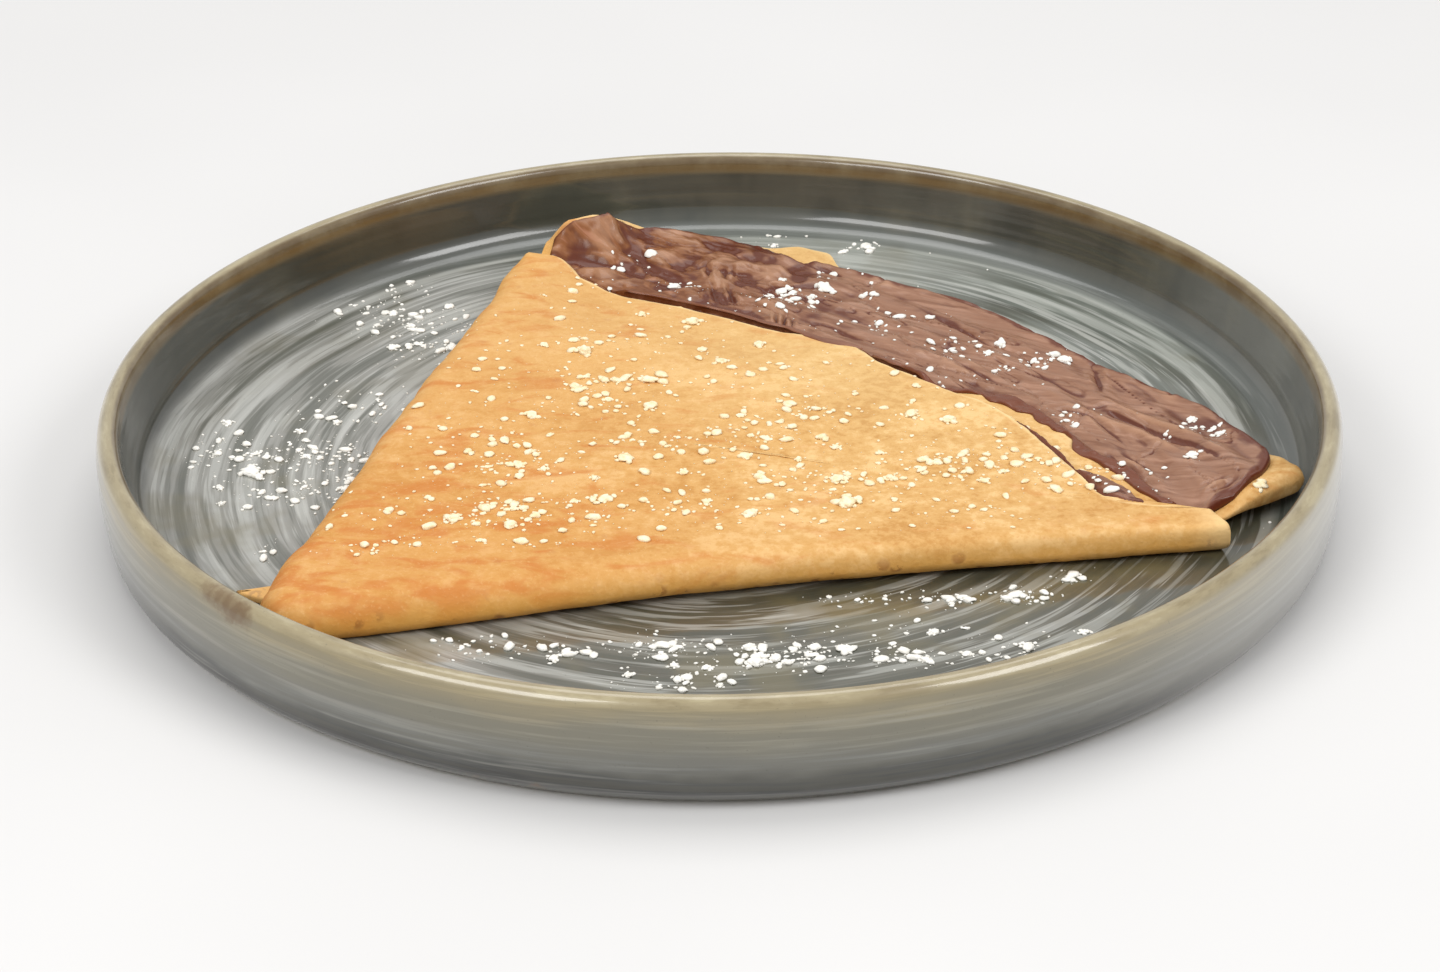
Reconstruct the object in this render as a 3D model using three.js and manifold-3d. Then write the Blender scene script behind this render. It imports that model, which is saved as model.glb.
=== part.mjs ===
// A folded crepe with chocolate spread and icing sugar, lying on its walled stoneware plate.
// Millimetres, +Z up. The origin is the centre of the plate's underside; -Y is the front.
import * as THREE from "three";
import { mergeVertices } from "three/addons/utils/BufferGeometryUtils.js";
import Module from "manifold-3d";

// ---------------------------------------------------------------- driving dimensions

// Plate: a turned dish with a flat floor, an upright wall and a rounded lip.
const PLATE_RADIUS = 130;
const PLATE_HEIGHT = 24;
const PLATE_SEGMENTS = 72;
const FLOOR_Z = 6;
const LIP_WIDTH = 4.4;
const WALL_BULGE = 0.7;
const COVE_WIDTH = 7.4;
const COVE_HEIGHT = 3.4;
const FOOT_RADIUS = 126.6;
const FOOT_WIDTH = 7;
const FOOT_RECESS = 1.8;

// Crepe: a disc folded to a wedge. Plan angles are in degrees about the wedge's point.
const REST_GAP = 0.3;
const CREPE_THICKNESS = 1.5;
const WEDGE_POINT = new THREE.Vector2(-82, -72);
const CORNER_ROUND = 8;
const CORNER_CENTRE = new THREE.Vector2(-82.6, -70.2);
const FRONT_FOLD_ANGLE = 11;
const LEFT_FOLD_ANGLE = 73.5;
const FRONT_FOLD_BOW = -1.6;
const LEFT_FOLD_BOW = 0.6;
const CORNER_HEIGHT = 9;
const STACK_HEIGHT = 7.7;
const CUT_EDGE_ROUND = 0.5;
const FOLD_ROUND_SHARE = 0.48;
const MIDDLE_THICKNESS = 1.1;
const FRONT_RISE = 4.5;
const TIP_LIFT = 3.2;
const FAN_FIRST = 12.5;
const FAN_LAST = 76.8;
const FAN_LEFT_INSET = 3.5;
const FAN_FRONT_FLARE = 1;

// Chocolate spread: one layer over the lowest flap, one thin layer under the top flap.
const SPREAD_THICKNESS = 1.1;
const SPREAD_RIDGE = 0.45;
const RIDGE_PITCH = 8.5;
const SEAM_THICKNESS = 0.5;
const LAYER_GAP = 0.3;
const BAND_INNER = 151;
const BAND_ROWS = [0, 0.2, 0.36, 0.5, 0.63, 0.75, 0.87, 1];
const SPREAD_COLUMNS = { first: 13.1, last: 76, step: 2.4 };
const SEAM_COLUMNS = { first: 13.6, last: 36.4, step: 1.2 };
const SEAM_REACH = 0.7;
const SEAM_BLOB = 6.3;
const SEAM_SWELLING = 0.9;
const SLOT_SKIN = 0.15;
const SLOT_OVERRUN = 6;
const SLOT_MARGIN = 0.9;

// Icing sugar: lumps large enough to be felt, fused to what they lie on.
const LUMP_RADIUS_MIN = 0.9;
const LUMP_RADIUS_MAX = 2.3;
const LUMP_FLATNESS = 0.62;
const SUGAR_SEED = 4107;

const GLAZE_COLOUR = 0x6d6d64;
const CREPE_COLOUR = 0xdba565;
const CHOCOLATE_COLOUR = 0x6a4636;

// Far edges as [plan angle, distance from the wedge's point].
const TOP_EDGE = [
  [8.4, 187],
  [10.8, 184.5],
  [11.8, 174],
  [13.2, 167.3],
  [15.2, 164.7],
  [23.9, 163.5],
  [29.8, 163.1],
  [34.7, 160],
  [41.6, 158.2],
  [46.2, 161.6],
  [49.9, 159.7],
  [54, 157],
  [67, 157.2],
  [71.6, 162],
  [75.3, 171.4],
  [77.2, 171],
];
const MIDDLE_EDGE = [
  [11.2, 184],
  [14.3, 177.3],
  [18.9, 176],
  [22.1, 172.4],
  [31, 172],
  [34.5, 166],
  [37, 160],
];
const LOWER_EDGE = [
  [12.5, 203.5],
  [13.2, 207.4],
  [14.2, 208.8],
  [17, 209.5],
  [24.7, 208.3],
  [28.4, 205.2],
  [33.8, 201],
  [46.8, 201.5],
  [53.5, 199.6],
  [56.2, 200.8],
  [58.6, 207.2],
  [60.4, 207.4],
  [62.3, 202.4],
  [64, 201.6],
  [70, 195],
  [73.6, 186],
  [76.8, 181],
];
const SPREAD_EDGE = [
  [12.2, 187.6],
  [14.4, 200],
  [16.6, 205],
  [20.2, 207.6],
  [24.7, 207.2],
  [28.4, 204.2],
  [33.8, 200],
  [46.8, 200.5],
  [51.6, 198.3],
  [56.5, 198.5],
  [59.3, 196.3],
  [61.5, 199.6],
  [64, 200.4],
  [70, 193.8],
  [73.6, 185],
  [76, 179.5],
];

// Heights along the far edges as [plan angle, height].
const TOP_EDGE_HEIGHT = [
  [8, 6.9],
  [13, 7.4],
  [31, 7.3],
  [40, 6.9],
  [48, 5.6],
  [60, 5.3],
  [70, 5.5],
  [77, 6.8],
];
const CURL_HEIGHT = [
  [58, 0],
  [66.7, 1],
  [70, 2.8],
  [73.6, 8.4],
  [75, 8.2],
  [77, 2.5],
];

// Where the icing sugar lies thickest, as centre, half widths and number of lumps.
const SUGAR_ON_PLATE = [
  { x: -72, y: 66, wide: 18, deep: 14, count: 7 },
  { x: -91, y: 2, wide: 15, deep: 20, count: 9 },
  { x: -2, y: -85, wide: 42, deep: 11, count: 10 },
  { x: 44, y: -82, wide: 34, deep: 9, count: 6 },
  { x: 28, y: 112, wide: 16, deep: 4, count: 2 },
];
const SUGAR_ON_CREPE = [
  { x: -30, y: -25, wide: 45, deep: 22, count: 13 },
  { x: 5, y: 5, wide: 55, deep: 30, count: 12 },
  { x: 40, y: -22, wide: 45, deep: 16, count: 7 },
  { x: -25, y: 45, wide: 30, deep: 35, count: 8 },
];
const SUGAR_ON_SPREAD = [
  { x: 103, y: -1, wide: 7, deep: 10, count: 4 },
  { x: 68, y: 44, wide: 10, deep: 12, count: 4 },
  { x: 28, y: 78, wide: 14, deep: 8, count: 4 },
];

// ---------------------------------------------------------------- small mathematics

const radians = THREE.MathUtils.degToRad;
const lerp = THREE.MathUtils.lerp;

function ease(from, to, value) {
  const t = THREE.MathUtils.clamp((value - from) / (to - from), 0, 1);
  return t * t * (3 - 2 * t);
}

// A smooth curve through [x, y] knots that never overshoots them.
function through(knots, x) {
  const last = knots.length - 1;
  if (x <= knots[0][0]) return knots[0][1];
  if (x >= knots[last][0]) return knots[last][1];
  const slope = (k) => (knots[k + 1][1] - knots[k][1]) / (knots[k + 1][0] - knots[k][0]);
  const tangent = (k) => {
    if (k === 0 || k === last) return 0;
    const [before, after] = [slope(k - 1), slope(k)];
    return before * after <= 0 ? 0 : (2 * before * after) / (before + after);
  };
  const k = knots.findLastIndex((knot) => knot[0] <= x);
  const width = knots[k + 1][0] - knots[k][0];
  const t = (x - knots[k][0]) / width;
  const rise = knots[k + 1][1] - knots[k][1];
  return (
    knots[k][1] +
    rise * t * t * (3 - 2 * t) +
    width * t * (1 - t) * ((1 - t) * tangent(k) - t * tangent(k + 1))
  );
}

function direction(angle) {
  return new THREE.Vector2(Math.cos(radians(angle)), Math.sin(radians(angle)));
}

function atPolar(angle, distance) {
  return direction(angle).multiplyScalar(distance).add(WEDGE_POINT);
}

function polarOf(point) {
  const away = point.clone().sub(WEDGE_POINT);
  return { angle: THREE.MathUtils.radToDeg(Math.atan2(away.y, away.x)), distance: away.length() };
}

// Repeatable random numbers from 0 to 1.
function randomFrom(seed) {
  let state = seed;
  return () => {
    state = (Math.imul(state, 1664525) + 1013904223) >>> 0;
    return state / 2 ** 32;
  };
}

// ---------------------------------------------------------------- plan of the layers

// Where the upper flaps end, so that the layers below begin to show.
function coveredTo(angle) {
  return Math.max(through(TOP_EDGE, angle), through(MIDDLE_EDGE, angle));
}

function spacedAngles({ first, last, step }) {
  const count = Math.round((last - first) / step);
  return Array.from({ length: count + 1 }, (_, n) => lerp(first, last, n / count));
}

// A slot reaches a little past the first and the last column of the layer that lies in it.
function withMargins(angles) {
  return [angles[0] - SLOT_MARGIN, ...angles, angles.at(-1) + SLOT_MARGIN];
}

// Rows of the lowest flap and of the spread on it: the two share them, so they stay parallel.
function bandDistances(angle) {
  return BAND_ROWS.map((share) => lerp(BAND_INNER, through(SPREAD_EDGE, angle), share));
}

// ---------------------------------------------------------------- heights of the layers

function cornerCurl(angle, distance) {
  return through(CURL_HEIGHT, angle) * ease(171, through(LOWER_EDGE, angle), distance);
}

// The lowest flap stands up at two places: where its thick front end climbs the plate's
// wall, and where its back left corner curls up.
function lowerTop(angle, distance) {
  const rise = FRONT_RISE * ease(27, 14, angle) * ease(178, 200, distance);
  return FLOOR_Z + REST_GAP + CREPE_THICKNESS + rise + cornerCurl(angle, distance);
}

function lowerUnderside(angle, distance) {
  const lift = TIP_LIFT * ease(24, 14, angle) * ease(178, 196, distance);
  return FLOOR_Z + REST_GAP + lift + cornerCurl(angle, distance);
}

function spreadUnderside(angle, distance) {
  return lowerTop(angle, distance) + SLOT_SKIN + LAYER_GAP;
}

function spreadTop(angle, distance) {
  const open = ease(coveredTo(angle) + 2, coveredTo(angle) + 6, distance);
  const sway = 2.2 * Math.sin(radians(angle * 7)) + 1.3 * Math.sin(radians(angle * 17 + 40));
  const stroke = Math.sin((2 * Math.PI * (distance + sway)) / RIDGE_PITCH);
  const gouge = Math.max(0, Math.sin(radians(angle * 23))) * 0.35;
  return (
    spreadUnderside(angle, distance) +
    SPREAD_THICKNESS +
    open * SPREAD_RIDGE * (0.35 + 0.65 * stroke - gouge)
  );
}

function slotTop(angle, distance) {
  return spreadUnderside(angle, distance) + SPREAD_THICKNESS + LAYER_GAP;
}

function middleTop(angle, distance) {
  return slotTop(angle, distance) + MIDDLE_THICKNESS;
}

function seamUnderside(angle, distance) {
  return middleTop(angle, distance) + SLOT_SKIN + LAYER_GAP;
}

function stackTop(point) {
  const { angle, distance } = polarOf(point);
  const along = THREE.MathUtils.clamp(distance / 165, 0, 1.1);
  const height = lerp(CORNER_HEIGHT, STACK_HEIGHT, along ** 1.2);
  const edge = through(TOP_EDGE, angle);
  const droop = (height - through(TOP_EDGE_HEIGHT, angle)) * ease(edge - 34, edge, distance);
  const wrinkle = 0.22 * Math.sin(radians(angle * 11)) * ease(20, 90, distance);
  return FLOOR_Z + height - droop + wrinkle * ease(edge, edge - 40, distance);
}

// ---------------------------------------------------------------- closed meshes

// Shares of the way from a mound's middle to its edge, and turns down round the edges.
const MOUND_RINGS = [0.3, 0.55, 0.75, 0.88, 0.96, 1];
const FOLD_TURNS = [55, 25, 5, -5, -30, -90];
const SHEET_EDGE_TURNS = [45, 0, -45];

function geometryOf(vertices, triangles) {
  const geometry = new THREE.BufferGeometry();
  geometry.setAttribute("position", new THREE.Float32BufferAttribute(vertices, 3));
  geometry.setIndex(triangles);
  return geometry;
}

// Joins two rings of vertex numbers, both anticlockwise from above; upper is the higher one.
function bandBetween(upper, lower, triangles) {
  upper.forEach((a, n) => {
    const next = (n + 1) % upper.length;
    triangles.push(lower[n], lower[next], upper[next], lower[n], upper[next], a);
  });
}

// Outward normals in plan of an anticlockwise loop of points.
function outwardNormals(loop) {
  return loop.map((point, n) => {
    const before = loop.at(n - 1);
    const after = loop[(n + 1) % loop.length];
    const along = after.clone().sub(before).normalize();
    return new THREE.Vector2(along.y, -along.x);
  });
}

// Every fan-shaped layer draws in at its left side, so that the left fold covers it, and
// its front side runs close along the front fold until the fold ends.
function fanAngle(edgeAngle, distance) {
  const across = THREE.MathUtils.clamp((edgeAngle - FAN_FIRST) / (FAN_LAST - FAN_FIRST), 0, 1);
  const left = FAN_LEFT_INSET * across ** 2 * (1 - ease(158, 175, distance));
  const front = FAN_FRONT_FLARE * (1 - across) ** 8 * (1 - ease(186, 200, distance));
  return edgeAngle - left - front;
}

// A sheet over part of a fan about the wedge's point: columns of angle, rows of distance.
// Its side bulges like a round edge by the given share of its half thickness.
function fanSolid({ angles, distancesAt, underside, top, bulge }) {
  const columns = angles.map((edgeAngle) =>
    distancesAt(edgeAngle).map((distance) => {
      const angle = fanAngle(edgeAngle, distance);
      return { angle, distance, plan: atPolar(angle, distance) };
    }),
  );
  const vertices = [];
  const triangles = [];
  const put = (point, z) => vertices.push(point.x, point.y, z) / 3 - 1;
  const layer = (height) =>
    columns.map((column) =>
      column.map((cell) => put(cell.plan, height(cell.angle, cell.distance))),
    );
  const upper = layer(top);
  const lower = layer(underside);
  for (let j = 0; j + 1 < upper.length; j += 1) {
    for (let i = 0; i + 1 < upper[j].length; i += 1) {
      const [a, b, c, d] = [upper[j][i], upper[j][i + 1], upper[j + 1][i + 1], upper[j + 1][i]];
      triangles.push(a, b, c, a, c, d);
      const [e, f, g, h] = [lower[j][i], lower[j][i + 1], lower[j + 1][i + 1], lower[j + 1][i]];
      triangles.push(e, g, f, e, h, g);
    }
  }
  const aroundOf = (cells) => [
    ...cells[0],
    ...cells.slice(1).map((column) => column.at(-1)),
    ...cells.at(-1).slice(0, -1).reverse(),
    ...cells.slice(1, -1).map((column) => column[0]).reverse(),
  ];
  const around = aroundOf(columns);
  const normals = outwardNormals(around.map((cell) => cell.plan));
  let above = aroundOf(upper);
  for (const turn of SHEET_EDGE_TURNS) {
    const ring = around.map((cell, n) => {
      const zTop = top(cell.angle, cell.distance);
      const zUnder = underside(cell.angle, cell.distance);
      const half = (zTop - zUnder) / 2;
      const push = bulge * half * Math.cos(radians(turn));
      const z = (zTop + zUnder) / 2 + half * Math.sin(radians(turn));
      return put(cell.plan.clone().addScaledVector(normals[n], push), z);
    });
    bandBetween(above, ring, triangles);
    above = ring;
  }
  bandBetween(above, aroundOf(lower), triangles);
  return geometryOf(vertices, triangles);
}

// A mound over a closed outline: each outline point carries its own inward direction and
// edge rounding, as wide as a full round fold or as small as a cut edge.
function ringSolid({ outline, hub, undersideZ, top }) {
  const vertices = [];
  const triangles = [];
  const put = (point, z) => vertices.push(point.x, point.y, z) / 3 - 1;
  const inset = outline.map((p) => p.at.clone().addScaledVector(p.inward, p.round));
  const centreTop = put(hub, top(hub));
  const centreUnder = put(hub, undersideZ);
  let ring = null;
  const addRing = (next) => {
    if (ring) bandBetween(ring, next, triangles);
    ring = next;
  };
  for (const share of MOUND_RINGS) {
    const points = inset.map((p) => hub.clone().lerp(p, share));
    addRing(points.map((p) => put(p, top(p))));
    if (share === MOUND_RINGS[0]) {
      ring.forEach((a, n) => triangles.push(centreTop, a, ring[(n + 1) % ring.length]));
    }
  }
  for (const turn of FOLD_TURNS) {
    const side = Math.sign(turn);
    addRing(
      outline.map((p, n) => {
        const zTop = top(inset[n]);
        const half = Math.min(p.isFold ? Infinity : p.round, (zTop - undersideZ) / 2);
        const pull = p.round * (1 - Math.cos(radians(turn)));
        const z = side > 0 ? zTop - half : undersideZ + half;
        const place = p.at.clone().addScaledVector(p.inward, pull);
        return put(place, z + half * Math.sin(radians(turn)));
      }),
    );
  }
  ring.forEach((a, n) => triangles.push(centreUnder, ring[(n + 1) % ring.length], a));
  return geometryOf(vertices, triangles);
}

// ---------------------------------------------------------------- joining and cutting

const manifold = await Module();
manifold.setup();

function solidOf(geometry) {
  const bare = geometry.clone();
  bare.deleteAttribute("normal");
  bare.deleteAttribute("uv");
  const merged = mergeVertices(bare, 1e-4);
  const mesh = new manifold.Mesh({
    numProp: 3,
    vertProperties: new Float32Array(merged.attributes.position.array),
    triVerts: new Uint32Array(merged.index.array),
  });
  return new manifold.Manifold(mesh);
}

function meshOf(name, solid, colour, roughness) {
  const made = solid.getMesh();
  const geometry = geometryOf(Array.from(made.vertProperties), Array.from(made.triVerts));
  const material = new THREE.MeshStandardMaterial({ color: colour, roughness, metalness: 0 });
  const mesh = new THREE.Mesh(geometry, material);
  mesh.name = name;
  return mesh;
}

function withLumps(body, lumps) {
  return lumps.reduce((joined, lump) => joined.add(solidOf(lump)), body);
}

// ---------------------------------------------------------------- icing sugar

// One lump, an uneven squashed ball sunk a little into the surface at the given height.
function sugarLump(place, z, random) {
  const size = lerp(LUMP_RADIUS_MIN, LUMP_RADIUS_MAX, random() ** 2);
  const lump = new THREE.IcosahedronGeometry(1, 0);
  lump.rotateX(random() * Math.PI);
  lump.scale(size * lerp(0.8, 1.3, random()), size * lerp(0.7, 1, random()), size * LUMP_FLATNESS);
  lump.rotateZ(random() * Math.PI);
  lump.translate(place.x, place.y, z + size * 0.12);
  return lump;
}

// Lumps scattered by chance about a few centres, dropped where the place isn't free.
function scatter(heaps, isFree, heightAt, random) {
  const placed = [];
  for (const heap of heaps) {
    let wanted = heap.count;
    for (let tries = 0; wanted > 0 && tries < 40 * heap.count; tries += 1) {
      const fall = () => random() + random() + random() - 1.5;
      const place = new THREE.Vector2(heap.x + heap.wide * fall(), heap.y + heap.deep * fall());
      const apart = placed.every((other) => other.distanceTo(place) > 2.4 * LUMP_RADIUS_MAX);
      if (!apart || !isFree(place)) continue;
      placed.push(place);
      wanted -= 1;
    }
  }
  return placed.map((place) => sugarLump(place, heightAt(place), random));
}

// ---------------------------------------------------------------- plate

// The turned section, from the axis along the underside, up the wall and in over the floor.
function plateProfile() {
  const innerLip = PLATE_RADIUS - LIP_WIDTH;
  const innerWall = innerLip - 2;
  const points = [
    [0, FOOT_RECESS],
    [FOOT_RADIUS - FOOT_WIDTH - 2.2, FOOT_RECESS],
    [FOOT_RADIUS - FOOT_WIDTH, 0],
    [FOOT_RADIUS - 1.2, 0],
    [FOOT_RADIUS, 0.9],
    [PLATE_RADIUS - 0.9, 3.2],
    [PLATE_RADIUS, 5.6],
    [PLATE_RADIUS + WALL_BULGE, 13],
    [PLATE_RADIUS + WALL_BULGE, 18],
    [PLATE_RADIUS + 0.2, PLATE_HEIGHT - 2],
    [PLATE_RADIUS - 0.9, PLATE_HEIGHT - 0.5],
    [PLATE_RADIUS - LIP_WIDTH * 0.5, PLATE_HEIGHT],
    [innerLip + 0.5, PLATE_HEIGHT - 0.6],
    [innerLip, PLATE_HEIGHT - 2.2],
    [innerWall + 1, FLOOR_Z + 8],
    [innerWall, FLOOR_Z + COVE_HEIGHT],
    [innerWall - 0.35 * COVE_WIDTH, FLOOR_Z + 0.3 * COVE_HEIGHT],
    [innerWall - COVE_WIDTH, FLOOR_Z],
    [0, FLOOR_Z],
  ];
  return points.map(([radius, z]) => new THREE.Vector2(radius, z));
}

function plate(random) {
  const turned = new THREE.LatheGeometry(plateProfile(), PLATE_SEGMENTS);
  turned.rotateX(Math.PI / 2);
  const clear = LUMP_RADIUS_MAX + 2;
  const isFree = (place) => {
    const { angle, distance } = polarOf(place);
    const beyond = angle > 12 && angle < 77 && distance > through(LOWER_EDGE, angle) + clear;
    return place.length() < FOOT_RADIUS - 14 && (outsideFolds(place) > clear || beyond);
  };
  return withLumps(solidOf(turned), scatter(SUGAR_ON_PLATE, isFree, () => FLOOR_Z, random));
}

// ---------------------------------------------------------------- crepe

// How far a plan point lies outside the front or the left fold line.
function outsideFolds(place) {
  const fromCentre = place.clone().sub(CORNER_CENTRE);
  const front = fromCentre.dot(direction(FRONT_FOLD_ANGLE - 90)) - CORNER_ROUND;
  const left = fromCentre.dot(direction(LEFT_FOLD_ANGLE + 90)) - CORNER_ROUND;
  return Math.max(front, left);
}

// The folded stack's outline, anticlockwise from the round corner along the front fold.
function stackOutline() {
  const frontOut = direction(FRONT_FOLD_ANGLE - 90);
  const leftOut = direction(LEFT_FOLD_ANGLE + 90);
  const foldRound = (point) => FOLD_ROUND_SHARE * (stackTop(point) - FLOOR_Z);
  const fold = (at, out) => ({ at, inward: out.clone().negate(), round: foldRound(at), isFold: true });
  const line = (from, to, out, bow, count) =>
    Array.from({ length: count }, (_, n) => {
      const share = n / count;
      const at = from.clone().lerp(to, share);
      return fold(at.addScaledVector(out, bow * Math.sin(Math.PI * share) ** 2), out);
    });

  const frontStart = CORNER_CENTRE.clone().addScaledVector(frontOut, CORNER_ROUND);
  const leftEnd = CORNER_CENTRE.clone().addScaledVector(leftOut, CORNER_ROUND);
  const [frontTip, ...farEdge] = TOP_EDGE;
  const bluntEnd = atPolar(...frontTip);
  const backCorner = atPolar(...farEdge.at(-1));

  const cutAngles = [10.8, 11.8, 13.2, ...spacedAngles({ first: 15.2, last: 75.3, step: 2.6 })];
  const cutPoints = cutAngles.map((angle) => atPolar(angle, through(TOP_EDGE, angle)));
  const cutNormals = outwardNormals([bluntEnd, ...cutPoints, backCorner]);
  const cut = cutPoints.map((at, n) => ({
    at,
    inward: cutNormals[n + 1].negate(),
    round: CUT_EDGE_ROUND,
    isFold: false,
  }));
  const backTurn = [0.25, 0.5, 0.8].map((share) => {
    const out = direction(lerp(cutAngles.at(-1), LEFT_FOLD_ANGLE + 90, share));
    const at = backCorner.clone().addScaledVector(out, 1 + share);
    return { at, inward: out.negate(), round: lerp(0.6, 2.8, share), isFold: share > 0.6 };
  });
  const leftStart = backCorner.clone().addScaledVector(direction(LEFT_FOLD_ANGLE - 180), 5);
  leftStart.addScaledVector(leftOut, 1.6);
  const corner = Array.from({ length: 9 }, (_, n) => {
    const turn = lerp(LEFT_FOLD_ANGLE + 90, 270 + FRONT_FOLD_ANGLE, n / 9);
    return fold(CORNER_CENTRE.clone().addScaledVector(direction(turn), CORNER_ROUND), direction(turn));
  });
  return [
    ...line(frontStart, bluntEnd, frontOut, FRONT_FOLD_BOW, 13),
    fold(bluntEnd, frontOut),
    ...cut,
    ...backTurn,
    ...line(leftStart, leftEnd, leftOut, LEFT_FOLD_BOW, 12),
    ...corner,
  ];
}

// The tip of a hidden fold that peeps out low at the left, behind the round corner.
function lowCorner() {
  const points = [
    [-77, -64],
    [-78, -50],
    [-86, -53],
    [-95, -56.6],
    [-95.6, -58],
    [-88, -64],
  ].map(([x, y]) => new THREE.Vector2(x, y));
  const normals = outwardNormals(points);
  return ringSolid({
    outline: points.map((at, n) => ({
      at,
      inward: normals[n].clone().negate(),
      round: 0.4,
      isFold: false,
    })),
    hub: new THREE.Vector2(-84, -57.5),
    undersideZ: FLOOR_Z + REST_GAP,
    top: () => FLOOR_Z + REST_GAP + CREPE_THICKNESS,
  });
}

function crepe(random) {
  const restZ = FLOOR_Z + REST_GAP;
  const stack = ringSolid({
    outline: stackOutline(),
    hub: new THREE.Vector2(-8, -8),
    undersideZ: restZ,
    top: stackTop,
  });
  const middleFlap = fanSolid({
    angles: spacedAngles({ first: MIDDLE_EDGE[0][0] + 0.6, last: 37, step: 2.3 }),
    distancesAt: (angle) => {
      const edge = through(MIDDLE_EDGE, angle);
      return [130, BAND_INNER, edge - 3, edge];
    },
    underside: () => restZ,
    top: middleTop,
    bulge: 0.12,
  });
  const lowerFlap = fanSolid({
    angles: [FAN_FIRST, ...spacedAngles(SPREAD_COLUMNS), FAN_LAST],
    distancesAt: (angle) => [...bandDistances(angle), through(LOWER_EDGE, angle)],
    underside: lowerUnderside,
    top: lowerTop,
    bulge: 0.5,
  });
  const spreadSlot = fanSolid({
    angles: withMargins(spacedAngles(SPREAD_COLUMNS)),
    distancesAt: (angle) => [20, 90, 140, ...bandDistances(angle)],
    underside: (angle, distance) => spreadUnderside(angle, distance) - LAYER_GAP,
    top: slotTop,
    bulge: 0,
  });
  const seamSlot = fanSolid({
    angles: withMargins(spacedAngles(SEAM_COLUMNS)),
    distancesAt: (angle) => [38, 110, through(TOP_EDGE, angle) + SLOT_OVERRUN],
    underside: (angle, distance) => seamUnderside(angle, distance) - LAYER_GAP,
    top: (angle, distance) => seamUnderside(angle, distance) + SEAM_THICKNESS + LAYER_GAP,
    bulge: 0,
  });
  const isFree = (place) => {
    const { angle, distance } = polarOf(place);
    return outsideFolds(place) < -8 && distance < through(TOP_EDGE, angle) - 6;
  };
  const body = [middleFlap, lowerFlap, lowCorner()]
    .reduce((joined, piece) => joined.add(solidOf(piece)), solidOf(stack))
    .subtract(solidOf(spreadSlot))
    .subtract(solidOf(seamSlot));
  return withLumps(body, scatter(SUGAR_ON_CREPE, isFree, stackTop, random));
}

// ---------------------------------------------------------------- chocolate

// The lower layer runs under the folded stack and shows as a knifed band at the far side.
function chocolateSpread(random) {
  const layer = fanSolid({
    angles: spacedAngles(SPREAD_COLUMNS),
    distancesAt: (angle) => [22, 90, 140, ...bandDistances(angle)],
    underside: spreadUnderside,
    top: spreadTop,
    bulge: 0.6,
  });
  const isFree = (place) => {
    const { angle, distance } = polarOf(place);
    return distance > coveredTo(angle) + 5 && distance < through(SPREAD_EDGE, angle) - 4;
  };
  const heightAt = (place) => {
    const { angle, distance } = polarOf(place);
    return spreadTop(angle, distance);
  };
  return withLumps(solidOf(layer), scatter(SUGAR_ON_SPREAD, isFree, heightAt, random));
}

// The thin upper layer, squeezed out under the top flap as a line that ends in a blob.
function chocolateSeam() {
  const blob = (angle) => SEAM_BLOB * ease(20, 15.8, angle) * ease(12, 13.6, angle);
  const swelling = (angle, distance) =>
    SEAM_SWELLING * ease(13.2, 15, angle) * ease(20, 15.8, angle) *
    ease(0.4, 1.8, distance - through(TOP_EDGE, angle));
  const layer = fanSolid({
    angles: spacedAngles(SEAM_COLUMNS),
    distancesAt: (angle) => {
      const flapEdge = through(TOP_EDGE, angle);
      const reach = SEAM_REACH + blob(angle);
      return [42, 110, flapEdge + 0.3, flapEdge + 0.3 + 0.5 * reach, flapEdge + 0.3 + reach];
    },
    underside: seamUnderside,
    top: (angle, distance) =>
      seamUnderside(angle, distance) + SEAM_THICKNESS + swelling(angle, distance),
    bulge: 0.8,
  });
  return solidOf(layer);
}

// ---------------------------------------------------------------- the whole

const random = randomFrom(SUGAR_SEED);
const group = new THREE.Group();
group.add(
  meshOf("plate", plate(random), GLAZE_COLOUR, 0.35),
  meshOf("crepe", crepe(random), CREPE_COLOUR, 0.75),
  meshOf("chocolate_spread", chocolateSpread(random), CHOCOLATE_COLOUR, 0.4),
  meshOf("chocolate_seam", chocolateSeam(), CHOCOLATE_COLOUR, 0.4),
);

export default group;
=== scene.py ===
"""Looks of the folded crepe with chocolate spread and icing sugar on its stoneware plate.

Lengths are millimetres until a mesh is made, then metres. Plan angles are degrees about the
wedge's point. The layers follow the same named sizes as the solids that they replace. Each
pattern made with noise(), rough() or wavy() has its own seed.
"""
import math

import bpy
import numpy as np
from mathutils import Matrix, Vector
from mathutils.bvhtree import BVHTree


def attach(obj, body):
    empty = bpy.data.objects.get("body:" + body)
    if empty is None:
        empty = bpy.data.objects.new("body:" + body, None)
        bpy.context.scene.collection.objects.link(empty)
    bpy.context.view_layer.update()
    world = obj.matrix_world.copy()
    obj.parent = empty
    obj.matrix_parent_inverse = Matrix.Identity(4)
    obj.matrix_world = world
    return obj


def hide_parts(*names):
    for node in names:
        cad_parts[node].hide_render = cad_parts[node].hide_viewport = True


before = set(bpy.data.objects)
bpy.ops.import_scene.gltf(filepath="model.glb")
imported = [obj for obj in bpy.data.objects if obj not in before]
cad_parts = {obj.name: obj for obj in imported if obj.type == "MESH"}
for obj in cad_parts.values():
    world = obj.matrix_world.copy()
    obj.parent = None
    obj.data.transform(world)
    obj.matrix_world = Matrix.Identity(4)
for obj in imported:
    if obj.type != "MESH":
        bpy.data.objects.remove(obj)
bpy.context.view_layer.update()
MM = 0.001

# ---------------------------------------------------------------- camera

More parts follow.
